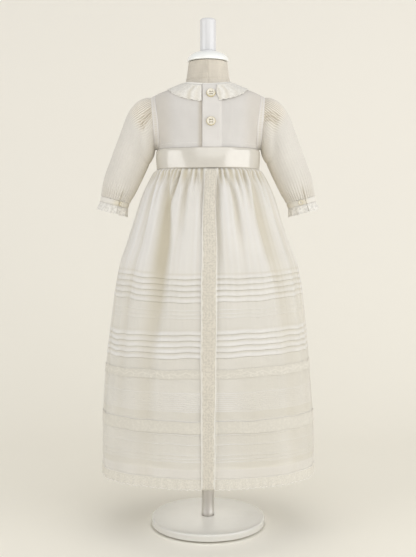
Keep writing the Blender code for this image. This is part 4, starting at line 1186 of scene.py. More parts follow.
# The form and its stand
def make_form():
    columns = 240
    angles = full_turn(columns, 360.0)
    neck = np.linspace(FORM_TOP, SHOULDER, 60)
    heights = np.concatenate((neck, np.linspace(SHOULDER, FORM_FOOT, 46)[1:]))[:, None]
    around = NECK_RADIUS * np.radians(np.minimum(angles, 360.0 - angles))[None, :]
    aside = np.minimum(np.abs(angles - 90.0), np.abs(angles - 270.0))[None, :]
    groove = bump(around, 0.0, GROOVE_WIDTH)
    groove = groove + bump(NECK_RADIUS * np.radians(aside), 0.0, GROOVE_WIDTH)
    groove = groove * smooth_step(FORM_TOP, FORM_TOP - 0.002, heights)
    level = bump(heights, NECK_SEAM, 0.0008)
    rounding = 0.0022 * (1.0 - np.sqrt(1.0 - smooth_step(0.8285, FORM_TOP, heights) * 0.98))
    out = 0.0004 * bump(around, SEAM_SIDE, 0.0016) - 0.0007 * np.maximum(groove, level) - rounding
    out = out + 0.0003 * bump(heights, NECK_SEAM + 0.0023, 0.0016)
    grid = over_body(angles[None, :], heights, out)
    # Painted light: the linen is made lighter towards the right side and darker towards the left.
    lit = 0.40 + 0.60 * smooth_step(-0.010, 0.025, grid[..., 0])
    mesh = grid_mesh("form_linen", grid, closed=True, tone=(lit, 0.0))
    last = len(heights) * columns - 1
    fix_normals(mesh, (range(columns), range(last, last - columns, -1)))
    form = make_piece("form_linen_torso", mesh, "Linen", ["form_torso"])

    parts = []
    heights = np.linspace(FORM_TOP - 0.0020, NECK_SEAM + 0.0025, 24)
    for x in (-SEAM_SIDE, SEAM_SIDE):
        parts += body_stitches(angle_at_x(x, heights), heights, 0.0001, 0.62)
    angles = np.linspace(0.0, 360.0, 160)
    parts += body_stitches(angles, np.full(angles.shape, NECK_SEAM + 0.0030), 0.0001, 0.62)
    thread_piece("form_stitches", parts, "Linen")


def rounded_corner(radius, height, rounding, steps=8):
    turn = 0.5 * np.pi * np.arange(steps + 1) / steps
    return list(zip(radius - rounding + rounding * np.sin(turn),
                    height - rounding + rounding * np.cos(turn)))


def make_stand():
    cap_foot = FORM_TOP + SEAM_GAP
    rim = cap_foot + CAP_EDGE
    first_turn = math.asin(ROD_RADIUS / CAP_RADIUS)
    rise = (CAP_TOP - rim) / math.cos(first_turn)
    turns = np.linspace(first_turn, 0.5 * np.pi, 22)
    dome = [(0.004, CAP_TOP), *zip(CAP_RADIUS * np.sin(turns), rim + rise * np.cos(turns))]
    dome += [(CAP_RADIUS + 0.0001, rim - 0.0006), (CAP_RADIUS, cap_foot + 0.0005),
             (CAP_RADIUS - 0.0005, cap_foot), (0.004, cap_foot)]
    make_piece("stand_neck_cap", turned_mesh("cap", dome), "Cap lacquer", ["neck_cap"])

    rod_foot = CAP_TOP + SEAM_GAP
    rod = [(0.003, ROD_TOP)] + rounded_corner(ROD_RADIUS, ROD_TOP, ROD_ROUNDING)
    rod += [(ROD_RADIUS, rod_foot + 0.0016), (ROD_RADIUS - 0.0007, rod_foot + 0.0009),
            (ROD_RADIUS - 0.0007, rod_foot), (0.003, rod_foot)]
    make_piece("stand_finial_rod", turned_mesh("rod", rod), "Lacquer", ["finial_rod"])

    pole_foot, pole_top = BASE_HEIGHT + SEAM_GAP, FORM_FOOT - SEAM_GAP
    pole = [(0.003, pole_top), (POLE_RADIUS - POLE_BEVEL, pole_top),
            (POLE_RADIUS, pole_top - POLE_BEVEL)]
    pole += [(POLE_RADIUS, h) for h in np.linspace(pole_top - 0.01, pole_foot + 0.008, 24)]
    ring = POLE_RADIUS + RING_OUT
    pole += [(ring, pole_foot + 0.0074), (ring, pole_foot + 0.0004), (POLE_RADIUS, pole_foot),
             (0.003, pole_foot)]
    make_piece("stand_steel_pole", turned_mesh("pole", pole), "Steel", ["stand_pole"])

    crown = 0.0004
    base = [(0.004, BASE_HEIGHT), (POLE_RADIUS + 0.002, BASE_HEIGHT)]
    base += [(r, BASE_HEIGHT - crown * (r / BASE_RADIUS) ** 2) for r in (0.03, 0.05, 0.07, 0.085)]
    base += rounded_corner(BASE_RADIUS, BASE_HEIGHT - crown, BASE_ROUNDING)
    foot = BASE_RADIUS - BASE_FOOT
    base += [(BASE_RADIUS, 0.0040), (BASE_RADIUS - 0.0008, 0.0031), (foot, 0.0029), (foot, 0.0),
             (0.004, 0.0)]
    make_piece("stand_round_base", turned_mesh("base", base, 160), "Base lacquer",
               ["stand_base"])


# The bodice
def armhole_half_depth(height):
    lift = (height - ARMHOLE_CENTRE) / ARMHOLE_HALF_HEIGHT
    return ARMHOLE_HALF_DEPTH * np.sqrt(np.maximum(1.0 - lift * lift, 0.0))


def side_edge(height, front):
    return angle_at_depth(np.maximum(armhole_half_depth(height), SEAM_GAP), height, front)


def bodice_rows(edges, columns):
    """Angles and heights of a panel's points, its neck edge first."""
    oval = ARMHOLE_CENTRE - ARMHOLE_HALF_HEIGHT * np.cos(np.linspace(0.0, np.pi, 33))
    level = np.concatenate((np.linspace(WAIST + 0.0005, oval[0], 12)[:-1], oval))
    fraction = np.concatenate((np.zeros(len(level)), np.linspace(0.0, 1.0, 15)[1:]))
    base = np.concatenate((level, np.full(14, level[-1])))

    def height_at(angle):
        return base + fraction * (neckline(angle) - level[-1])

    first, last = edges(height_at)
    share = np.linspace(0.0, 1.0, columns + 1)
    angle = first[:, None] + (last - first)[:, None] * share
    height = base[:, None] + fraction[:, None] * (neckline(angle) - level[-1])
    return angle[::-1], height[::-1]


def under_seam(height):
    """0 over the bodice's lower seam and 1 under it."""
    return smooth_step(WAIST_SEAM + 0.0007, WAIST_SEAM - 0.0009, height)


def panel_grid(edges, columns, offset, creases):
    angle, height = bodice_rows(edges, columns)
    x = body_point(angle, height)[..., 0]
    out = crease_out(x, height, creases)
    seam = 0.0005 * under_seam(height)
    return over_body(angle, height, bodice_ease(height) + offset + out + seam), x


def left_back_edges(height_at):
    return -side_edge(height_at(90.0), False), angle_at_x(UNDERLAP_X, height_at(0.0))


def right_back_edges(height_at):
    centre = angle_at_x(UNDERLAP_X + 2 * SEAM_GAP, height_at(0.0))
    return centre, side_edge(height_at(90.0), False)


def front_edges(height_at):
    edge = side_edge(height_at(90.0), True)
    return edge, 360.0 - edge


def placket_edges(height_at):
    height = height_at(0.0)
    return angle_at_x(OPENING_X, height), angle_at_x(PLACKET_X, height)


def make_bodice():
    panels = (
        ("gown_back_left", "bodice_back_left", left_back_edges, 84, LEFT_CREASES, (0.125, 0.150)),
        ("gown_back_right", "bodice_back_right", right_back_edges, 84, RIGHT_CREASES,
         (0.110, 0.150)),
        ("gown_front", "bodice_front", front_edges, 150, FRONT_CREASES, (0.240, 0.150)),
    )
    for name, node, edges, columns, creases, flat in panels:
        grid, x = panel_grid(edges, columns, BODICE_WALL, creases)
        # Painted shade: on the left back a dark line beside the placket's edge with softer shade
        # beside it, and every panel lighter and warmer towards the armholes.
        deep = np.zeros(x.shape)
        if name == "gown_back_left":
            groove = bump(x, OPENING_X - 0.0008, 0.0012)
            deep = 0.15 * groove + 0.45 * bump(x, OPENING_X - 0.003, 0.004)
        edge = smooth_step(0.052, 0.078, np.abs(x))
        tone = (0.5 + 0.5 * edge, np.clip(deep + 0.25 * edge, 0.0, 1.0))
        piece = cloth_piece(name, grid, "Cotton", node, LAWN_THICK, tone=tone)

    angle, height = bodice_rows(placket_edges, 44)
    share = np.linspace(0.0, 1.0, 45)[None, :]
    shape = -0.0003 * (bump(share, 0.07, 0.018) + bump(share, 0.92, 0.025))
    shape = shape - 0.0005 * bump(share, 0.0, 0.012) - 0.0016 * smooth_step(0.86, 1.0, share)
    seam = 0.0004 * under_seam(height)
    waver = 0.0002 * np.sin(height * 240.0 + 4.0 * share)
    grid = over_body(angle, height, bodice_ease(height) + PLACKET_OUT + shape + seam + waver)
    piece = cloth_piece("gown_placket", grid, "Placket", "button_placket",
                        FINE_THICK)

    parts = []
    heights = np.linspace(0.7830, 0.6760, 60)
    for x, low in ((OPENING_X + 0.0024, 0.0003), (PLACKET_X - 0.0026, 0.0011)):
        parts += body_stitches(angle_at_x(x, heights), heights,
                               bodice_ease(heights) + PLACKET_OUT - low, radius=0.00024)
    for x0, x1 in ((-0.080, OPENING_X - 0.001), (PLACKET_X + 0.001, 0.080)):
        x = np.linspace(x0, x1, 60)
        height = np.full(x.shape, WAIST_SEAM)
        parts += body_stitches(angle_at_x(x, height), height,
                               bodice_ease(height) + BODICE_WALL + 0.0002)
    thread_piece("gown_back_stitches", parts)


# Buttons
def button_parts(radius, thick):
    """Points and faces of a dished button with a rim and four holes, facing +Z."""
    rings, spokes = 30, 56
    share = np.linspace(0.0, 1.0, rings)[:, None]
    turn = full_turn(spokes)[None, :]
    r = radius * share
    rim = window(share, 0.58, 0.74, 0.86, 1.0)
    top = thick * (0.60 + 0.40 * rim - 0.45 * smooth_step(0.9, 1.0, share))
    x, y = r * np.cos(turn), r * np.sin(turn)
    z = np.broadcast_to(top, x.shape).copy()
    for sx in (-1, 1):
        for sy in (-1, 1):
            away = np.hypot(x - sx * HOLE_SPREAD * radius, y - sy * HOLE_SPREAD * radius)
            z -= 0.75 * thick * smooth_step(0.17 * radius, 0.10 * radius, away)
    upper = np.stack((x, y, np.maximum(z, 0.04 * thick)), -1)
    lower = np.stack((0.9 * x[-1], 0.9 * y[-1], np.zeros(spokes)), -1)[None]
    points = np.concatenate((upper, lower)).reshape(-1, 3)
    *quads, _, low = ring_faces(rings + 1, spokes)
    return points, quads[spokes:] + [low] + [[0, a[1], a[2]] for a in quads[:spokes]]


def place_button(name, radius, spot, normal):
    """A pearl button with its sewing thread, seated just off the cloth."""
    normal = Vector(normal).normalized()
    matrix = Matrix.Translation(Vector(spot) + BUTTON_SEAT * normal)
    matrix = matrix @ normal.to_track_quat("Z", "Y").to_matrix().to_4x4()
    thick = BUTTON_THICK * radius
    mesh = joined_mesh(name, [button_parts(radius, thick)])
    # The Tone map holds each point's distance from the middle, for the painted shade on the rim.
    away = [(math.hypot(v.co.x, v.co.y) / radius, 0.0) for v in mesh.vertices]
    rounds = np.array([away[corner.vertex_index] for corner in mesh.loops], np.float32)
    mesh.uv_layers.new(name="Tone").uv.foreach_set("vector", rounds.ravel())
    mesh.set_sharp_from_angle(angle=SHARP_RIM)
    make_piece("pearl_" + name, mesh, "Pearl", [name], matrix=matrix)
    parts = []
    for side in (-1, 1):
        t = np.linspace(-1.0, 1.0, 7)
        line = np.stack((HOLE_SPREAD * radius * t, np.full(7, side * HOLE_SPREAD * radius),
                         thick * (0.66 - 0.35 * t ** 6)), -1)
        parts.append(tube_parts(line, 0.055 * radius, 6))
    thread_piece("thread_" + name, parts, "Button thread", matrix)


def make_buttons():
    """The two back buttons, and the worked hole of the lower one."""
    for number, height in enumerate(BUTTON_HEIGHTS, start=1):
        angle = angle_at_x(BUTTON_X, height)
        spot = over_body(angle, height, bodice_ease(height) + PLACKET_OUT)
        place_button("back_button_" + str(number), BUTTON_RADIUS, spot,
                     body_normal(angle, height))
    turn = full_turn(40)
    x = BUTTON_X - 0.0010 + 0.0092 * np.cos(turn)
    z = BUTTON_HEIGHTS[-1] + 0.0007 * np.sin(turn)
    line = over_body(angle_at_x(x, z), z, bodice_ease(z) + PLACKET_OUT - 0.0001)
    thread_piece("gown_buttonholes", [tube_parts(line, 0.0003, 6, closed=True)])


# Collar and neck
def reach_height(angle, reach):
    """Height on the bodice at this distance down the surface from the neckline."""
    drops = np.linspace(0.0, 0.034, 120)
    line = body_point(angle[..., None], neckline(angle)[..., None] - drops)
    run = np.linalg.norm(np.diff(line, axis=-2), axis=-1).cumsum(-1)
    run = np.concatenate((np.zeros((*run.shape[:-1], 1)), run), -1)
    k = np.clip((run < np.asarray(reach)[..., None]).sum(-1) - 1, 0, len(drops) - 2)[..., None]
    before, after = np.take_along_axis(run, k, -1), np.take_along_axis(run, k + 1, -1)
    share = ((np.asarray(reach)[..., None] - before) / np.maximum(after - before, 1e-9))[..., 0]
    return neckline(angle) - (drops[k[..., 0]] + share * (drops[1] - drops[0]))


def collar_half(plan):
    """One half of the collar, and its edge's cord and picots."""
    columns, rows = 320, 15
    side = plan.side
    share = np.linspace(0.0, 1.0, columns + 1)[None, :]
    depth = np.linspace(0.0, 1.0, rows + 1)[:, None]
    run = share ** 1.15
    stop = side * 179.6
    scallop = 0.0011 * (np.abs(np.sin(np.pi * run * COLLAR_SCALLOPS)) - 0.5)
    reach = 0.0016 + (COLLAR_DEPTH - 0.0020) * depth
    reach = reach + scallop * smooth_step(0.7, 1.0, depth)
    reach = reach + 0.0040 * depth * bump(share, 0.24, 0.12)
    reach = reach + 0.0030 * depth * smooth_step(0.26, 0.10, share)
    level = reach_height(np.zeros(reach.shape), reach)
    if side < 0:
        end = np.full(reach.shape, OPENING_X - 0.0012)
    else:
        end = 0.0152 - 0.0012 * reach / COLLAR_DEPTH
        end = end + 0.0040 * smooth_step(0.018, COLLAR_DEPTH, reach)
    start = angle_at_x(end, level)
    angle = start + (stop - start) * run
    height = reach_height(angle, reach)
    near = smooth_step(42.0, 12.0, np.abs(angle))
    pleats = 0.5 + 0.5 * cosine(angle * COLLAR_PLEATS + 50.0 * sine(angle * 9.0))
    waves = 0.5 + 0.5 * cosine(angle * COLLAR_WAVES + 40.0 * sine(angle * 3.1))
    wave = sizes().collar_ruffle * depth * (1.5 * near * pleats + 0.55 * (1.0 - near) * waves)
    wave = wave + 0.0006 * near * pleats * (1.0 - depth) * smooth_step(0.0, 0.15, depth)
    step = PLACKET_GAP + TRIM_WALL
    step = step * smooth_step(60.0, 38.0, angle) if side > 0 else 0.0
    front = COLLAR_FRONT_EASE * smooth_step(60.0, 110.0, np.abs(angle))
    rest = BODICE_WALL + COLLAR_GAP + front + step + 0.0004
    grid = over_body(angle, height, bodice_ease(height) + rest + wave)
    # Painted shade in the flutes by the opening and faintly in the outer waves, and the cloth made
    # lighter near the opening.
    strong = 0.60 + 0.40 * sine(angle * 21.0 + 100.0)
    deep = 0.10 * (1.0 - waves) * depth + 1.1 * near * strong * (1.0 - pleats) ** 1.2
    deep = np.clip(deep, 0.0, 1.0) * smooth_step(0.0, 0.2, depth)
    light = 0.42 + 0.16 * near
    out = body_normal(angle[2], height[2])
    if side < 0:
        grid, deep, light, out = grid[:, ::-1], deep[:, ::-1], light[:, ::-1], out[::-1]
    piece = cloth_piece("gown_collar_" + plan.name, grid, "Collar lace",
                        "collar_" + plan.name, FINE_THICK, tone=(light, deep))
    parts = picots(grid[-1], unit(grid[-1] - grid[-2]), *COLLAR_PICOTS)
    parts.append(tube_parts(grid[-1], 0.0004, 6))
    parts.append(tube_parts(grid[2] + 0.0003 * out, 0.00035, 6))
    thread_piece("gown_collar_edge_" + plan.name, parts)


def make_neck_binding():
    """A whipped cord round the neckline, open at the back."""
    columns, sides = 620, 12
    start = float(angle_at_x(OPENING_X, NECK_SIDE - NECK_DROP_BACK)) + 0.3
    angle = np.linspace(start, start + 359.4, columns + 1)
    turn = full_turn(sides)
    whip = 1.0 + 0.10 * whipping(columns + 1)[:, None]
    lift = 0.0014 + 0.0017 * whip * np.cos(turn)[None, :]
    offset = 0.0017 + 0.0010 * whip * np.sin(turn)[None, :]
    grid = over_body(angle[:, None], neckline(angle)[:, None] + lift, offset)
    parts = [(grid.reshape(-1, 3), ring_faces(columns + 1, sides))]
    mesh = joined_mesh("gown_neck_binding", parts)
    fix_normals(mesh)
    piece = make_piece("gown_neck_binding", mesh, "Thread", ["neck_binding"])


# Sleeves, armhole bands and cuffs
def sleeve_frame(turns, side):
    """Middle, outward direction and half sizes of the sleeve at places along it."""
    places = np.arange(len(SLEEVE))
    outer_x, outer_z, inner_x, inner_z, half_depth, middle_y = (
        smooth_curve(places, column, turns) for column in zip(*SLEEVE))
    outer = np.stack((side * outer_x, middle_y, outer_z), -1)
    inner = np.stack((side * inner_x, middle_y, inner_z), -1)
    across = outer - inner
    return 0.5 * (outer + inner), unit(across), 0.5 * np.linalg.norm(across, axis=-1), half_depth


def sleeve_points(turns, side, angles, grow):
    middle, across, half_width, half_depth = sleeve_frame(turns, side)
    out = cosine(angles) * (half_width[:, None] + grow)
    along = sine(angles) * (half_depth[:, None] + grow)
    grid = middle[:, None] + out[..., None] * across[:, None]
    grid[..., 1] += along
    return grid


def sleeve_grow(plan, t, angle):
    """How far gathers, pleats and folds move a sleeve's points out, and how deep they lie."""
    s = sizes()
    turned = angle % 360.0
    wobble = 0.6 * sine(3.0 * angle + 40.0 * plan.side)
    cap = window(t, 0.0, 0.4, 3.0, 4.6)
    upper = np.maximum(np.exp(-((turned - 306.0) / 38.0) ** 4),
                       np.exp(-((turned - 54.0) / 38.0) ** 4))
    upper = 0.15 + 0.85 * upper
    fan = np.interp(t, range(len(PLEAT_FAN)), PLEAT_FAN)
    fanned = turned + np.where(turned > 180.0, fan, -fan)
    pleat = 0.5 - 0.5 * cosine(fanned * SLEEVE_PLEATS)
    grow = -s.sleeve_pleat * cap * upper * pleat
    # Painted shade in the cap's pleats and painted light on their ridges.
    deep = 0.95 * cap * upper * pleat ** 1.2
    light = 0.5 + 0.36 * cap * upper * (1.0 - pleat)
    rib = cosine(angle * 20.0)
    grow = grow + 0.0004 * rib * window(t, 0.0, 0.6, 1.0, 2.4)
    cuff = smooth_step(8.0, 11.5, t)
    gather = cosine(angle * CUFF_GATHERS + 50.0 * wobble)
    long_gather = cosine(angle * (CUFF_GATHERS + 1.0) + 70.0 * wobble)
    grow = grow + s.cuff_gather * cuff * (0.7 * gather + 0.35)
    outer = 0.25 + 0.75 * (0.5 + 0.5 * cosine(angle)) ** 2
    grow = grow + 0.00022 * outer * smooth_step(3.0, 7.0, t) * long_gather
    # Painted shade in the gathers above the cuff and in the long gathers down the sleeve.
    deep = deep + 0.14 * cuff * (0.5 - 0.5 * gather)
    deep = deep + 0.16 * outer * smooth_step(3.0, 7.0, t) * (0.5 - 0.5 * long_gather)
    run = np.clip((t - 0.2) / 2.8, 0.0, 1.0)
    centre = plan.fold_start + (plan.fold_end - plan.fold_start) * run
    fold = window(t, 0.1, 0.8, 2.8, 3.8)
    for shift, depth, width in CAP_FOLDS:
        dent = fold * bump(turned, centre + shift, width)
        grow = grow - depth * dent
        # Painted shade in the cap's folds.
        deep = deep + 200.0 * depth * dent
    long_fold = window(t, 2.0, 4.0, 5.5, 8.0)
    for centre in (262.0 - 9.0 * (t - 4.0), 100.0 + 7.0 * (t - 4.0)):
        grow = grow - 0.0020 * long_fold * bump(turned, centre, 15.0)
    crook = 0.0016 * bump(t, 5.6 - 0.9 * cosine(angle), 0.35)
    grow = grow - crook * bump(turned, 205.0, 40.0)
    under = bump(turned, 186.0, 34.0)
    arm_pleat = 0.5 - 0.5 * cosine(angle * ARM_PLEATS)
    grow = grow - 0.0009 * under * arm_pleat * window(t, 0.0, 0.5, 1.5, 4.0)
    # Painted warm shade under the arm, and painted light on the sleeve's underside.
    deep = deep + under * (0.15 * smooth_step(5.5, 2.0, t) + 0.10 + 0.12 * cuff)
    light = light + 0.48 * under * smooth_step(0.5, 2.5, t)
    # The slit sinks in, with painted shade in it.
    slit = smooth_step(9.3, 10.4, t) * bump(turned, plan.slit_angle, 3.6)
    return grow - 0.0014 * slit, light, np.clip(deep + 0.4 * slit, 0.0, 1.0)


def sleeve_angles():
    """Angles round a sleeve, closer over the pleated cap."""
    return np.concatenate((np.arange(0.0, 96.0, 0.80), np.arange(96.0, 244.0, 1.75),
                           np.arange(244.0, 360.0, 0.80)))[None, :]


def make_sleeves():
    angles = sleeve_angles()
    turns = (len(SLEEVE) - 1) * np.linspace(0.0, 1.0, 105)
    for plan in SIDES:
        grow, light, deep = sleeve_grow(plan, turns[:, None], angles)
        grid = sleeve_points(turns, plan.side, angles, grow)
        piece = cloth_piece("gown_sleeve_" + plan.name, grid, "Sleeve", "sleeve_" + plan.name,
                            closed=True, tone=(light, deep))


def armhole_ring(side, shrink, offset, turn):
    height = ARMHOLE_CENTRE + (ARMHOLE_HALF_HEIGHT - shrink) * np.cos(turn)
    depth = (ARMHOLE_HALF_DEPTH - shrink) * np.sin(turn)
    front = angle_at_depth(np.abs(depth), height, True)
    back = angle_at_depth(np.abs(depth), height, False)
    angle = side * np.where(depth > 0.0, front, back)
    return over_body(angle, height, bodice_ease(height) + offset)


def make_armholes():
    """The corded strips between bodice and sleeves, two cords with bars between."""
    columns, rows = 480, 12
    turn = full_turn(columns)
    first = SLEEVE[0]
    middle_x = 0.5 * (first.outer_x + first.inner_x)
    middle_z = 0.5 * (first.outer_z + first.inner_z)
    half_height = 0.5 * (first.outer_z - first.inner_z)
    lean = (first.outer_x - first.inner_x) / (first.outer_z - first.inner_z)
    share = np.linspace(0.0, 1.0, rows + 1)[:, None]
    bars = 0.5 + 0.5 * whipping(columns)[None, :]
    for plan in SIDES:
        side = plan.side
        near = armhole_ring(side, -0.0024, BODICE_WALL - 0.0005, turn)
        lift = (half_height - 0.0003) * np.cos(turn)
        far = np.stack((side * (middle_x + 0.0016 + lean * lift),
                        (first.half_depth - 0.0003) * np.sin(turn), middle_z + lift), -1)
        grid = near[None] + (far - near)[None] * share[..., None]
        flat_out = np.stack((np.zeros(columns), np.sin(turn), np.cos(turn)), -1)
        cords = bump(share, 0.20, 0.09) + bump(share, 0.80, 0.09)
        between = window(share, 0.26, 0.36, 0.64, 0.74)
        rise = window(share, 0.0, 0.12, 0.88, 1.0)
        out = 0.0006 * cords * (0.45 + 0.55 * bars) + 0.0003 * between * bars + 0.0008 * rise
        grid = grid + out[..., None] * flat_out[None]
        # Lighter all over, with painted shade in the gaps between the bars.
        piece = cloth_piece("gown_armhole_" + plan.name, grid, "Placket",
                            "armhole_band_" + plan.name, BAND_THICK, closed=True,
                            tone=(1.0, 0.8 * between * (1.0 - bars)))


def cuff_frame(plan):
    """Middle, outward and downward directions and half sizes where a cuff begins."""
    ends = sleeve_frame(np.array([len(SLEEVE) - 1.0]), plan.side)
    middle, across, half_width, half_depth = (value[0] for value in ends)
    down = np.array((plan.side * across[2], 0.0, -abs(across[0])))
    return middle, across, down, half_width, half_depth


def cuff_points(plan, depths, opening, grow, columns):
    """A grid round a cuff from one side of its slit to the other."""
    middle, across, down, half_width, half_depth = cuff_frame(plan)
    share = np.linspace(0.0, 1.0, columns + 1)[None, :]
    angle = plan.slit_angle + opening + (360.0 - 2 * opening) * share
    out = cosine(angle) * (half_width + grow)
    grid = middle + depths[..., None] * down + out[..., None] * across
    grid[..., 1] += sine(angle) * (half_depth + grow)
    return grid, angle


def cuff_band(plan):
    """Make a cuff, and return the stitches along its edges."""
    depth = np.linspace(SEAM_GAP, CUFF_BAND, 13)[:, None]
    share = (depth - SEAM_GAP) / (CUFF_BAND - SEAM_GAP)
    crown = 0.0005 * np.sin(np.pi * share) - 0.0004 * (bump(share, 0.16, 0.05)
                                                        + bump(share, 0.84, 0.05))
    grid, angle = cuff_points(plan, depth, np.ones((1, 1)), crown, 200)
    # Painted light and warm painted shade on the cuff's underside, and painted shade beside the
    # slit.
    under = bump(angle % 360.0, 190.0, 45.0)
    slit_shade = 0.4 * bump(angle % 360.0, plan.slit_angle - 8.0 * plan.side, 14.0)
    piece = cloth_piece("gown_cuff_" + plan.name, grid, "Cuff", "cuff_" + plan.name,
                        CUFF_THICK,
                        tone=(0.5 + 0.3 * under, slit_shade + 0.3 * under))
    middle = grid.mean((0, 1))
    parts = []
    for row in (2, 10):
        line = grid[row]
        out = unit((line - middle) * np.array((1.0, 1.0, 0.3)))
        parts += capsules(line + 0.0001 * out, out, 0.0020, radius=0.00020)
    return parts


def cuff_ruffle(plan):
    """Make a cuff's lace, and return its edge's picots and cord."""
    columns = 288
    top = CUFF_BAND + SEAM_GAP
    share = np.linspace(0.0, 1.0, 13)[:, None]
    around = np.linspace(0.0, 1.0, columns + 1)[None, :]
    scallop = 0.0014 * (np.abs(np.sin(np.pi * around * CUFF_SCALLOPS)) - 0.6)
    depth = top + (CUFF_LACE - 0.0006) * share + scallop * smooth_step(0.6, 1.0, share)
    wave = 0.0012 * share * np.cos(2 * np.pi * around * CUFF_WAVES + 1.2 * np.sin(9.0 * around))
    grow = CUFF_LACE_FLARE * share + wave
    grid, angle = cuff_points(plan, depth, 0.7 + 1.0 * share, grow, columns)
    # Painted light and warm painted shade on the lace's underside.
    under = bump(angle % 360.0, 190.0, 50.0)
    piece = cloth_piece("gown_cuff_lace_" + plan.name, grid, "Cuff lace",
                        "cuff_lace_" + plan.name, FINE_THICK,
                        tone=(0.5 + 0.32 * under, 0.25 * under))
    parts = picots(grid[-1], unit(grid[-1] - grid[-2]), *CUFF_PICOTS)
    return parts + [tube_parts(grid[-1], 0.00036, 6)]


def cuff_button(plan):
    middle, across, down, half_width, half_depth = cuff_frame(plan)
    turn = math.radians(plan.button_angle)
    spot = middle + 0.5 * CUFF_BAND * down + math.cos(turn) * half_width * across
    spot = spot + np.array((0.0, math.sin(turn) * half_depth, 0.0))
    normal = math.cos(turn) / half_width * across
    normal = normal + np.array((0.0, math.sin(turn) / half_depth, 0.0))
    spot = spot + 0.0004 * unit(normal)
    place_button("cuff_button_" + plan.name, CUFF_BUTTON_RADIUS, spot, normal)


def make_cuffs():
    for plan in SIDES:
        parts = cuff_band(plan) + cuff_ruffle(plan)
        thread_piece("gown_cuff_threads_" + plan.name, parts)
        cuff_button(plan)


# Sash
def make_sash():
    columns, rows = 360, 18
    angle = full_turn(columns, 360.0)[None, :]
    share = np.linspace(0.0, 1.0, rows + 1)[:, None]
    height = SASH_HIGH + (SASH_LOW - SASH_HIGH) * share
    clearance = bodice_ease(SASH_LOW) + PLACKET_OUT + SASH_GAP + SASH_OUT
    crown = sizes().sash_crown * (np.sin(np.pi * share) ** 0.7 - 0.4)
    dents = 0.00035 * sine(angle * 5.0 + 60.0) * np.sin(np.pi * share)
    dents = dents + 0.00025 * sine(angle * 13.0) * (share - 0.5)
    hems = -0.0003 * (bump(share, 0.10, 0.016) + bump(share, 0.90, 0.016))
    away = np.minimum(np.abs(angle - 6.0), 360.0 - np.abs(angle - 6.0))
    hems = hems - 0.0020 * smooth_step(0.12, 0.0, share) * smooth_step(18.0, 30.0, away)
    plain = over_body(angle, height, clearance)
    side = np.abs(plain[..., 0])
    turned = smooth_step(0.015, 0.068, side)
    twist = 0.0030 * share * (1.0 - turned) + 0.0012 * (1.0 - share) * turned
    twist = twist * smooth_step(0.0, -0.02, plain[..., 1])
    grid = over_body(angle, height, clearance + crown + dents + hems + twist + 0.0002)
    grid[..., 2] += 0.0003 * sine(angle * 3.0)
    piece = cloth_piece("gown_sash", grid, "Satin", "sash", SATIN_THICK, closed=True)


# Skirt
def strip_edges(heights):
    """Angles of the back strip's two edges on the skirt."""
    half_width = smooth_value(SKIRT, "half_width", heights)
    return [np.degrees(np.arcsin(smooth_value(STRIP, column, heights) / half_width))[:, None]
            for column in ("left", "right")]


def skirt_folds(heights):
    """Width each way, angle and depth of every fold at the heights."""
    left, right = strip_edges(heights)
    narrow = (0.62 + 0.38 * smooth_step(0.630, 0.530, heights))[:, None]
    depth = [smooth_curve(FOLD_HEIGHTS, depths, heights)[:, None]
             for depths in (STRIP_LEFT_DEPTHS, STRIP_RIGHT_DEPTHS)]
    slope = (2.0 + 1.2 * smooth_step(0.53, 0.60, heights))[:, None]
    folds = [(slope, 1.0, left - 0.6, depth[0]), (1.0, slope + 3.0, right + 0.6, depth[1])]
    for fold in FOLDS:
        folds.append((fold.left * narrow, fold.right * narrow,
                      smooth_curve(FOLD_HEIGHTS, fold.turns, heights)[:, None],
                      smooth_curve(FOLD_HEIGHTS, fold.depths, heights)[:, None]))
    share = smooth_curve(FOLD_HEIGHTS, FRONT_FOLD_SHARES, heights)[:, None]
    for k in range(FRONT_FOLD_COUNT):
        turn = 92.0 + 176.0 * (k + 0.5) / FRONT_FOLD_COUNT + 1.8 * math.sin(2.4 * k)
        folds.append(((5.0 + math.sin(1.7 * k)) * narrow, (6.0 - math.sin(1.7 * k)) * narrow,
                      np.array([[turn]]), FRONT_FOLD_DEPTHS[k % len(FRONT_FOLD_DEPTHS)] * share))
    return folds


def fold_drop(heights, turns):
    """How far the gathers sink below the skirt's outer form."""
    z = heights[:, None]
    total = np.zeros(np.broadcast_shapes(z.shape, turns.shape))
    for left, right, centre, depth in skirt_folds(heights):
        away = (turns - centre + 180.0) % 360.0 - 180.0
        share = np.clip(np.abs(away) / np.where(away < 0.0, left, right), 0.0, 1.0)
        total += depth * np.cos(0.5 * np.pi * share) ** 2
    total *= 0.001 * smooth_step(0.6390, 0.6220, z) * (0.42 + 0.58 * smooth_step(0.12, 0.33, z))
    return FOLD_LIMIT * np.tanh(total * sizes().gather_depth / FOLD_LIMIT)


def skirt_columns():
    """Angles round the skirt, closer at the back."""
    back = np.arange(-100.0, 100.0, 0.72)
    return np.concatenate((back, np.arange(100.0, 260.0, 1.26)))[None, :]


def fine_creases(heights, turns):
    """Uneven fine creases that hang from the waist, from 0 to 1."""
    radians, fall = np.radians(turns), 0.64 - heights[:, None]
    total = 0.0
    for count, phase, drift, swell in CREASE_WAVES:
        strength = 0.55 + 0.45 * np.sin(swell * radians + phase + 6.0 * fall)
        total = total + strength * np.cos(count * radians + phase + drift * fall)
    return np.clip(0.5 + 0.28 * total, 0.0, 1.0)


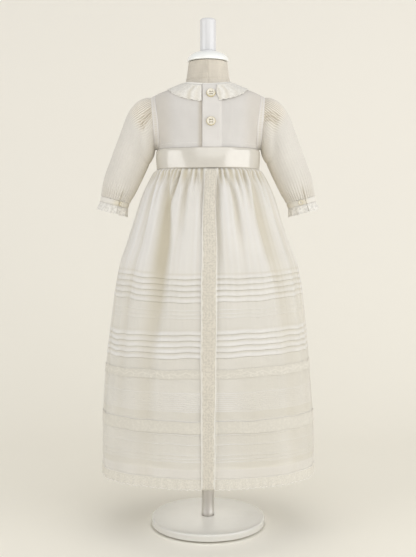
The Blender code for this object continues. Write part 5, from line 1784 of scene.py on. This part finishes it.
def skirt_points(heights, outset, turns):
    """Points of the skirt's outer face and how deep each lies in a fold."""
    heights = np.asarray(heights, float)
    z, radians = heights[:, None], np.radians(turns)
    drop = fold_drop(heights, turns)
    deep = np.clip(drop / 0.0105, 0.0, 1.0) ** 1.2
    gather = 0.5 - 0.5 * np.cos(SKIRT_GATHERS * radians + 1.3 * np.sin(9.0 * radians)
                                + 0.9 * np.sin(23.0 * radians))
    left, right = strip_edges(heights)
    clear = 1.0 - 0.9 * window(turns, left - 1.0, left, right, right + 1.0)
    near = window(z, 0.600, 0.630, 0.6360, 0.6395)
    crease = fine_creases(heights, turns)
    drop = drop + clear * gather * sizes().waist_gather * near
    drop = drop + clear * 0.0005 * crease * (0.2 + 0.8 * smooth_step(0.25, 0.45, z))
    drop = drop - 0.0022 * window(z, 0.6335, 0.6365, 0.6370, 0.6394)
    slow = 0.0009 * np.sin(7.0 * radians + z * 21.0) + 0.0006 * np.sin(13.0 * radians - z * 16.0)
    drop = drop - clear * (slow - 0.0008) * smooth_step(0.60, 0.45, z)
    outset = np.asarray(outset, float)
    grow = (outset if outset.ndim == 2 else outset.reshape(-1, 1)) - drop
    half_width = smooth_value(SKIRT, "half_width", heights)[:, None] + grow
    half_depth = smooth_value(SKIRT, "half_depth", heights)[:, None] + grow
    x, y = oval_point(half_width, half_depth, smooth_value(SKIRT, "power", heights)[:, None],
                      turns)
    waver = 0.0005 * np.sin(11.0 * radians + z * 30.0) + 0.0004 * np.sin(23.0 * radians - z * 20.0)
    level = z + smooth_value(SKIRT, "rise", heights)[:, None] * x
    level = level + clear * waver * window(z, 0.10, 0.16, 0.44, 0.48)
    lift = 0.0072 * smooth_step(-24.0, -62.0, turns) + 0.0036 * smooth_step(26.0, 66.0, turns)
    lift = lift * window(turns, -128.0, -98.0, 128.0, 188.0)
    level = level + lift * window(z, 0.355, 0.412, 0.462, 0.510)
    # Painted shade along the fine creases and in the gathers under the sash.
    lined = crease * (0.03 + 0.13 * smooth_step(0.33, 0.50, z))
    deep = np.maximum(deep, near * gather) + lined
    return np.stack((x, y, level), -1), np.clip(clear * deep, 0.0, 1.0)


def tuck_profile(line):
    """Rows down one tuck: over its fold, back under it and on down."""
    depth, out = sizes().tuck_depth, sizes().tuck_raise
    return [(line - share * depth, lift * out, light) for share, lift, light in TUCK_SHAPE]


def skirt_profile():
    """Height, raise and lightness of the skirt's rows, from the waist to its turned-up hem."""
    def plain(heights):
        heights = np.atleast_1d(heights)
        tones = np.interp(heights, *zip(*SKIRT_TONES))
        return [(h, 0.0, t) for h, t in zip(heights, tones)]

    blocks = [plain(np.linspace(WAIST, 0.6300, 9)), plain(np.linspace(0.6265, 0.4610, 38))]
    for top in (UPPER_TUCKS, LOWER_TUCKS):
        for k in range(TUCK_COUNT):
            blocks.append(tuck_profile(top - k * TUCK_PITCH))
    for line, light in SEWN_LINES:
        edge = plain(np.array((line + 0.0007, line - 0.0007)))
        blocks.append([edge[0], (line, sizes().pintuck_raise, light), edge[1]])
    blocks += [plain(h) for h in PLAIN_ROWS]
    blocks.sort(key=lambda rows: -rows[0][0])
    rows = [row for block in blocks for row in block]
    return rows + [(SKIRT_HEM + lift, out, HEM_TONE) for lift, out in HEM_SHAPE]


def make_skirt():
    heights, out, light = np.array(skirt_profile()).T
    turns = skirt_columns()
    z, out, light = heights[:, None], out[:, None], light[:, None]
    flat = 0.40 * smooth_step(-14.0, -34.0, turns) + 0.30 * smooth_step(26.0, 52.0, turns)
    fade = 1.0 - flat * smooth_step(200.0, 120.0, turns)
    grid, deep = skirt_points(heights, np.where(out > 0.0, fade, 1.0) * out, turns)
    radians = np.radians(turns)
    uneven = 0.75 + 0.25 * np.sin(5.0 * radians + 0.8) * np.sin(13.0 * radians + z * 30.0)
    by_strip = window(turns, -26.0, -12.0, 12.0, 24.0)
    sewn = np.isclose(out, sizes().pintuck_raise)
    # The tucks' contrast varies round the skirt, and the sewn lines are made lighter beside the
    # strip.
    light = 0.40 + (light - 0.40) * uneven + 0.28 * sewn * by_strip
    # Painted light on the crest left of the big fold, and painted shade over two stretches on the
    # right and in the big fold's valley.
    light = light + 0.26 * bump(turns, -52.0, 10.0) * smooth_step(0.42, 0.50, z)
    light = light - 0.11 * window(turns, 36.0, 52.0, 88.0, 112.0)
    light = light - 0.11 * window(turns, 8.0, 24.0, 36.0, 46.0) * smooth_step(0.34, 0.27, z)
    deep = deep + 0.24 * bump(turns, -33.0, 5.0) * smooth_step(0.42, 0.50, z)
    # Below the lining's hem both the light and the painted fold shade are raised.
    below = smooth_step(0.1310, 0.1280, z)
    light, deep = light + 0.22 * below, deep + 0.28 * below
    light, deep = np.clip(light, 0.0, 1.0), np.clip(deep, 0.0, 1.0)
    piece = cloth_piece("gown_skirt", grid, "Organza", "skirt", closed=True,
                        tone=(light, deep))


def make_lining():
    columns = 180
    angle = full_turn(columns, 360.0)[None, :]
    heights = np.concatenate((np.linspace(WAIST, 0.1450, 70), (0.1418, 0.1412, 0.1406),
                              np.linspace(0.1390, LINING_HEM, 6)))
    z = heights[:, None]
    folds = 0.5 + 0.5 * cosine(angle * LINING_FOLDS + 30.0 * sine(angle * 2.0))
    drop = 0.0012 * folds * smooth_step(0.640, 0.520, z) + 0.0005 * bump(z, 0.1412, 0.0006)
    drop = drop + LINING_FOLLOW * fold_drop(heights, angle)
    half_width = smooth_value(LINING, "half_width", z) - drop
    half_depth = smooth_value(LINING, "half_depth", z) - drop
    x, y = oval_point(half_width, half_depth, smooth_value(LINING, "power", z), angle)
    droop = 0.0016 * sine(angle * 9.0 + 20.0)
    droop = droop + 0.0010 * sine(angle * 4.0)
    level = z + droop * smooth_step(0.20, 0.13, z)
    grid = np.stack((x, y, level), -1)
    piece = cloth_piece("gown_lining", grid, "Lining", "skirt_lining", LINING_THICK,
                        closed=True)


def make_trims():
    turns = skirt_columns()
    for name, (high, low), lace in (("upper", UPPER_LACE, "Zigzag lace"),
                                    ("lower", LOWER_LACE, "Flower lace")):
        share = np.linspace(0.0, 1.0, 11)
        out = BAND_OUT + 0.0004 * (bump(share, 0.05, 0.05) + bump(share, 0.95, 0.05))
        grid, _ = skirt_points(high + (low - high) * share, out, turns)
        piece = cloth_piece("gown_lace_" + name, grid, lace, "skirt_lace_" + name,
                            closed=True)

    fine = np.arange(-180.0, 180.0, 0.32)[None, :]
    share = np.linspace(0.0, 1.0, 11)
    heights = (SKIRT_HEM - SEAM_GAP) + (LACE_HEM + 0.0012 - SKIRT_HEM) * share
    grid, _ = skirt_points(heights, np.zeros(11), fine)
    run = run_along(grid[0])
    around = run / (run[-1] + np.linalg.norm(grid[0, -1] - grid[0, 0]))
    level = unit(grid[-1] * np.array((1.0, 1.0, 0.0)))
    wave = 0.0010 * np.cos(2 * np.pi * around * HEM_WAVES + 1.5 * np.sin(20.0 * around))
    grid = grid + (share[:, None] * wave[None, :])[..., None] * level[None]
    scallop = 0.0022 * (np.abs(np.sin(np.pi * around * HEM_SCALLOPS)) - 0.5)
    grid[..., 2] -= smooth_step(0.55, 1.0, share)[:, None] * scallop[None, :]
    piece = cloth_piece("gown_hem_lace", grid, "Hem lace", "hem_lace", closed=True)
    cord = [tube_parts(grid[-1], 0.00035, 5, closed=True),
            tube_parts(grid[0] + 0.0003 * level, 0.0004, 5, closed=True)]
    thread_piece("gown_hem_cords", cord)


def make_strip():
    """The lace strip down the centre back, with picots along both edges."""
    heights = np.linspace(0.6378, LACE_HEM + 0.0010, 240)
    left, right = strip_edges(heights)
    share = np.linspace(0.0, 1.0, 15)[None, :]
    turns = left + (right - left) * share
    grid, _ = skirt_points(heights, np.full(heights.shape, STRIP_OUT), turns)
    edge = np.abs(share - 0.5) * 2.0
    ripple = 0.0003 * np.sin(heights * 310.0)[:, None] * edge ** 2
    ripple = ripple + 0.0002 * np.sin(heights * 90.0)[:, None] - 0.0005 * edge ** 4
    grid[..., 1] -= ripple
    grid[..., 0] += 0.0004 * np.sin(heights * 55.0)[:, None]
    piece = cloth_piece("gown_back_strip", grid, "Strip lace", "back_lace_strip",
                        FINE_THICK)
    parts = []
    for column, sign in ((0, -1.0), (-1, 1.0)):
        line = grid[:, column]
        out = np.broadcast_to(np.array((sign, -0.15, 0.0)), line.shape)
        parts += picots(line, out, *STRIP_PICOTS)
        parts.append(tube_parts(line + 0.0006 * np.array((-sign, 0.0, 0.0)), 0.0006, 8))
        parts.append(tube_parts(line + np.array((-sign * 0.0024, -0.0003, 0.0)), 0.0004, 6))
    thread_piece("gown_strip_picots", parts)


# Stage
def add_area(name, place, aim, size, power, colour):
    data = bpy.data.lights.new(name, "AREA")
    data.shape = "RECTANGLE"
    data.size, data.size_y = size
    data.energy = power
    data.color = colour
    light = add_object(name, data)
    light.location = place
    light.rotation_euler = (Vector(aim) - Vector(place)).to_track_quat("-Z", "Y").to_euler()
    return data


def make_backdrop():
    """Pale paper over the floor that bends up into a wall."""
    half, near, turn_start, radius, top = 4.0, -4.0, 0.55, 0.9, 3.2
    profile = [(near, 0.0), (turn_start - 1.0, 0.0), (turn_start, 0.0)]
    for k in range(1, 25):
        turn = 0.5 * math.pi * k / 24
        profile.append((turn_start + radius * math.sin(turn), radius - radius * math.cos(turn)))
    profile.append((turn_start + radius, top))
    points = [(x, y, z) for y, z in profile for x in (-half, half)]
    faces = [(2 * k, 2 * k + 1, 2 * k + 3, 2 * k + 2) for k in range(len(profile) - 1)]
    mesh = bpy.data.meshes.new("backdrop")
    mesh.from_pydata(points, [], faces)
    mesh.shade_smooth()
    paper, g, shader, _ = start_material("Backdrop paper", 0.9)
    place = g.place()
    high = g.ramp(g.split(place)[2], 0.0, 1.0)
    grain = g.noise(place, 500.0, 1.0)
    tone = g.mix(high, rgba(colours().floor), rgba(colours().wall))
    finish_shader(g, shader, tone, grain, 0.00005)
    g.feed(shader, {"Specular IOR Level": 0.1})
    # From behind, the wall lets the camera see the gown.
    clear = g.node("BsdfTransparent").outputs[0]
    back = g.node("NewGeometry").outputs["Backfacing"]
    seen = g.node("MixShader", {0: back, 1: shader.outputs[0], 2: clear}).outputs[0]
    g.feed(paper.node_tree.nodes["Material Output"], {"Surface": seen})
    mesh.materials.append(paper)
    backdrop = add_object("backdrop", mesh)


def make_lights(settings):
    """Two softboxes, a broad light over the camera and the glow inside the skirt."""
    aim = (0.0, 0.0, 0.5)
    warm = (1.0, 0.995, 0.985)
    add_area("right_softbox", (1.76, -1.14, 0.95), aim, (2.3, 1.5), settings.right_light,
             (1.0, 0.997, 1.0))
    add_area("left_softbox", (-1.91, -1.08, 0.95), aim, (1.5, 1.4), settings.left_light,
             (0.985, 0.99, 1.0))
    add_area("front_fill", (0.2, -2.6, 2.2), aim, (2.2, 1.4), settings.fill_light, warm)
    glow = add_area("skirt_glow", (0.0, 0.0, 0.42), (0.0, 0.0, 0.0), (0.10, 0.10),
                    settings.skirt_light, warm)
    glow.spread = math.radians(34.0)


def make_room(settings):
    """The even light from all round."""
    world = bpy.data.worlds.new("Room")
    world.use_nodes = True
    background = world.node_tree.nodes["Background"]
    background.inputs["Color"].default_value = (1.0, 0.993, 0.980, 1.0)
    background.inputs["Strength"].default_value = settings.world_light
    bpy.context.scene.world = world


def make_camera(settings):
    data = bpy.data.cameras.new("camera")
    data.lens = settings.lens
    data.sensor_width = 36.0
    data.shift_y = settings.shift
    camera = add_object("camera", data)
    camera.location = (0.0, -settings.distance, settings.height)
    camera.rotation_euler = (0.5 * math.pi - settings.tilt, 0.0, 0.0)
    bpy.context.scene.camera = camera


def make_stage():
    settings = bpy.context.scene.gown_stage
    make_backdrop()
    make_lights(settings)
    make_room(settings)
    bpy.context.scene.view_settings.view_transform = "Standard"
    make_camera(settings)


class GOWN_OT_form(bpy.types.Operator):
    """Make the linen torso with its seams"""
    bl_idname = "gown.form"
    bl_label = "Linen Form"

    def execute(self, context):
        make_form()
        return {"FINISHED"}


class GOWN_OT_stand(bpy.types.Operator):
    """Make the cap, rod, pole and base"""
    bl_idname = "gown.stand"
    bl_label = "Stand"

    def execute(self, context):
        make_stand()
        return {"FINISHED"}


class GOWN_OT_bodice(bpy.types.Operator):
    """Make the bodice panels and the placket"""
    bl_idname = "gown.bodice"
    bl_label = "Bodice"

    def execute(self, context):
        make_bodice()
        return {"FINISHED"}


class GOWN_OT_buttons(bpy.types.Operator):
    """Make the pearl buttons of the back"""
    bl_idname = "gown.buttons"
    bl_label = "Back Buttons"

    def execute(self, context):
        make_buttons()
        return {"FINISHED"}


class GOWN_OT_collar(bpy.types.Operator):
    """Make the lace collar and the neck binding"""
    bl_idname = "gown.collar"
    bl_label = "Collar"

    def execute(self, context):
        for plan in SIDES:
            collar_half(plan)
        make_neck_binding()
        return {"FINISHED"}


class GOWN_OT_armholes(bpy.types.Operator):
    """Make the corded armhole bands"""
    bl_idname = "gown.armholes"
    bl_label = "Armhole Bands"

    def execute(self, context):
        make_armholes()
        return {"FINISHED"}


class GOWN_OT_sleeves(bpy.types.Operator):
    """Make the gathered sleeves"""
    bl_idname = "gown.sleeves"
    bl_label = "Sleeves"

    def execute(self, context):
        make_sleeves()
        return {"FINISHED"}


class GOWN_OT_cuffs(bpy.types.Operator):
    """Make the cuffs with their lace and buttons"""
    bl_idname = "gown.cuffs"
    bl_label = "Cuffs"

    def execute(self, context):
        make_cuffs()
        return {"FINISHED"}


class GOWN_OT_lining(bpy.types.Operator):
    """Make the skirt's lining"""
    bl_idname = "gown.lining"
    bl_label = "Lining"

    def execute(self, context):
        make_lining()
        return {"FINISHED"}


class GOWN_OT_skirt(bpy.types.Operator):
    """Make the gathered and tucked skirt"""
    bl_idname = "gown.skirt"
    bl_label = "Skirt"

    def execute(self, context):
        make_skirt()
        return {"FINISHED"}


class GOWN_OT_sash(bpy.types.Operator):
    """Make the satin sash"""
    bl_idname = "gown.sash"
    bl_label = "Sash"

    def execute(self, context):
        make_sash()
        return {"FINISHED"}


class GOWN_OT_trims(bpy.types.Operator):
    """Make the lace bands and the hem lace"""
    bl_idname = "gown.trims"
    bl_label = "Skirt Lace"

    def execute(self, context):
        make_trims()
        return {"FINISHED"}


class GOWN_OT_strip(bpy.types.Operator):
    """Make the lace strip down the back"""
    bl_idname = "gown.strip"
    bl_label = "Back Strip"

    def execute(self, context):
        make_strip()
        return {"FINISHED"}


class GOWN_OT_stage(bpy.types.Operator):
    """Make the backdrop, lights and camera"""
    bl_idname = "gown.stage"
    bl_label = "Stage"

    def execute(self, context):
        make_stage()
        return {"FINISHED"}


OPERATORS = (
    GOWN_OT_form, GOWN_OT_stand, GOWN_OT_bodice, GOWN_OT_buttons,
    GOWN_OT_collar, GOWN_OT_armholes, GOWN_OT_sleeves, GOWN_OT_cuffs,
    GOWN_OT_lining, GOWN_OT_skirt, GOWN_OT_sash, GOWN_OT_trims,
    GOWN_OT_strip, GOWN_OT_stage,
)


class GOWN_PT_panel(bpy.types.Panel):
    """Lists the gown's sizes, colours and making steps"""
    bl_label = "Christening Gown"
    bl_idname = "GOWN_PT_panel"
    bl_space_type = "VIEW_3D"
    bl_region_type = "UI"
    bl_category = "Gown"

    def draw(self, context):
        layout = self.layout
        scene = context.scene
        for group in (scene.gown_sizes, scene.gown_colours, scene.gown_stage):
            box = layout.box()
            for key in group.bl_rna.properties.keys():
                if key not in ("rna_type", "name"):
                    box.prop(group, key)
        for made in OPERATORS:
            layout.operator(made.bl_idname)


CLASSES = (GownSizes, GownColours, StageSettings, *OPERATORS, GOWN_PT_panel)


def register():
    for made in CLASSES:
        bpy.utils.register_class(made)
    bpy.types.Scene.gown_sizes = PointerProperty(type=GownSizes)
    bpy.types.Scene.gown_colours = PointerProperty(type=GownColours)
    bpy.types.Scene.gown_stage = PointerProperty(type=StageSettings)


def unregister():
    for key in ("gown_stage", "gown_colours", "gown_sizes"):
        delattr(bpy.types.Scene, key)
    for made in reversed(CLASSES):
        bpy.utils.unregister_class(made)


def main():
    register()
    bpy.ops.gown.form()
    bpy.ops.gown.stand()
    bpy.ops.gown.bodice()
    bpy.ops.gown.buttons()
    bpy.ops.gown.collar()
    bpy.ops.gown.armholes()
    bpy.ops.gown.sleeves()
    bpy.ops.gown.cuffs()
    bpy.ops.gown.lining()
    bpy.ops.gown.skirt()
    bpy.ops.gown.sash()
    bpy.ops.gown.trims()
    bpy.ops.gown.strip()
    bpy.ops.gown.stage()


if __name__ == "__main__":
    main()
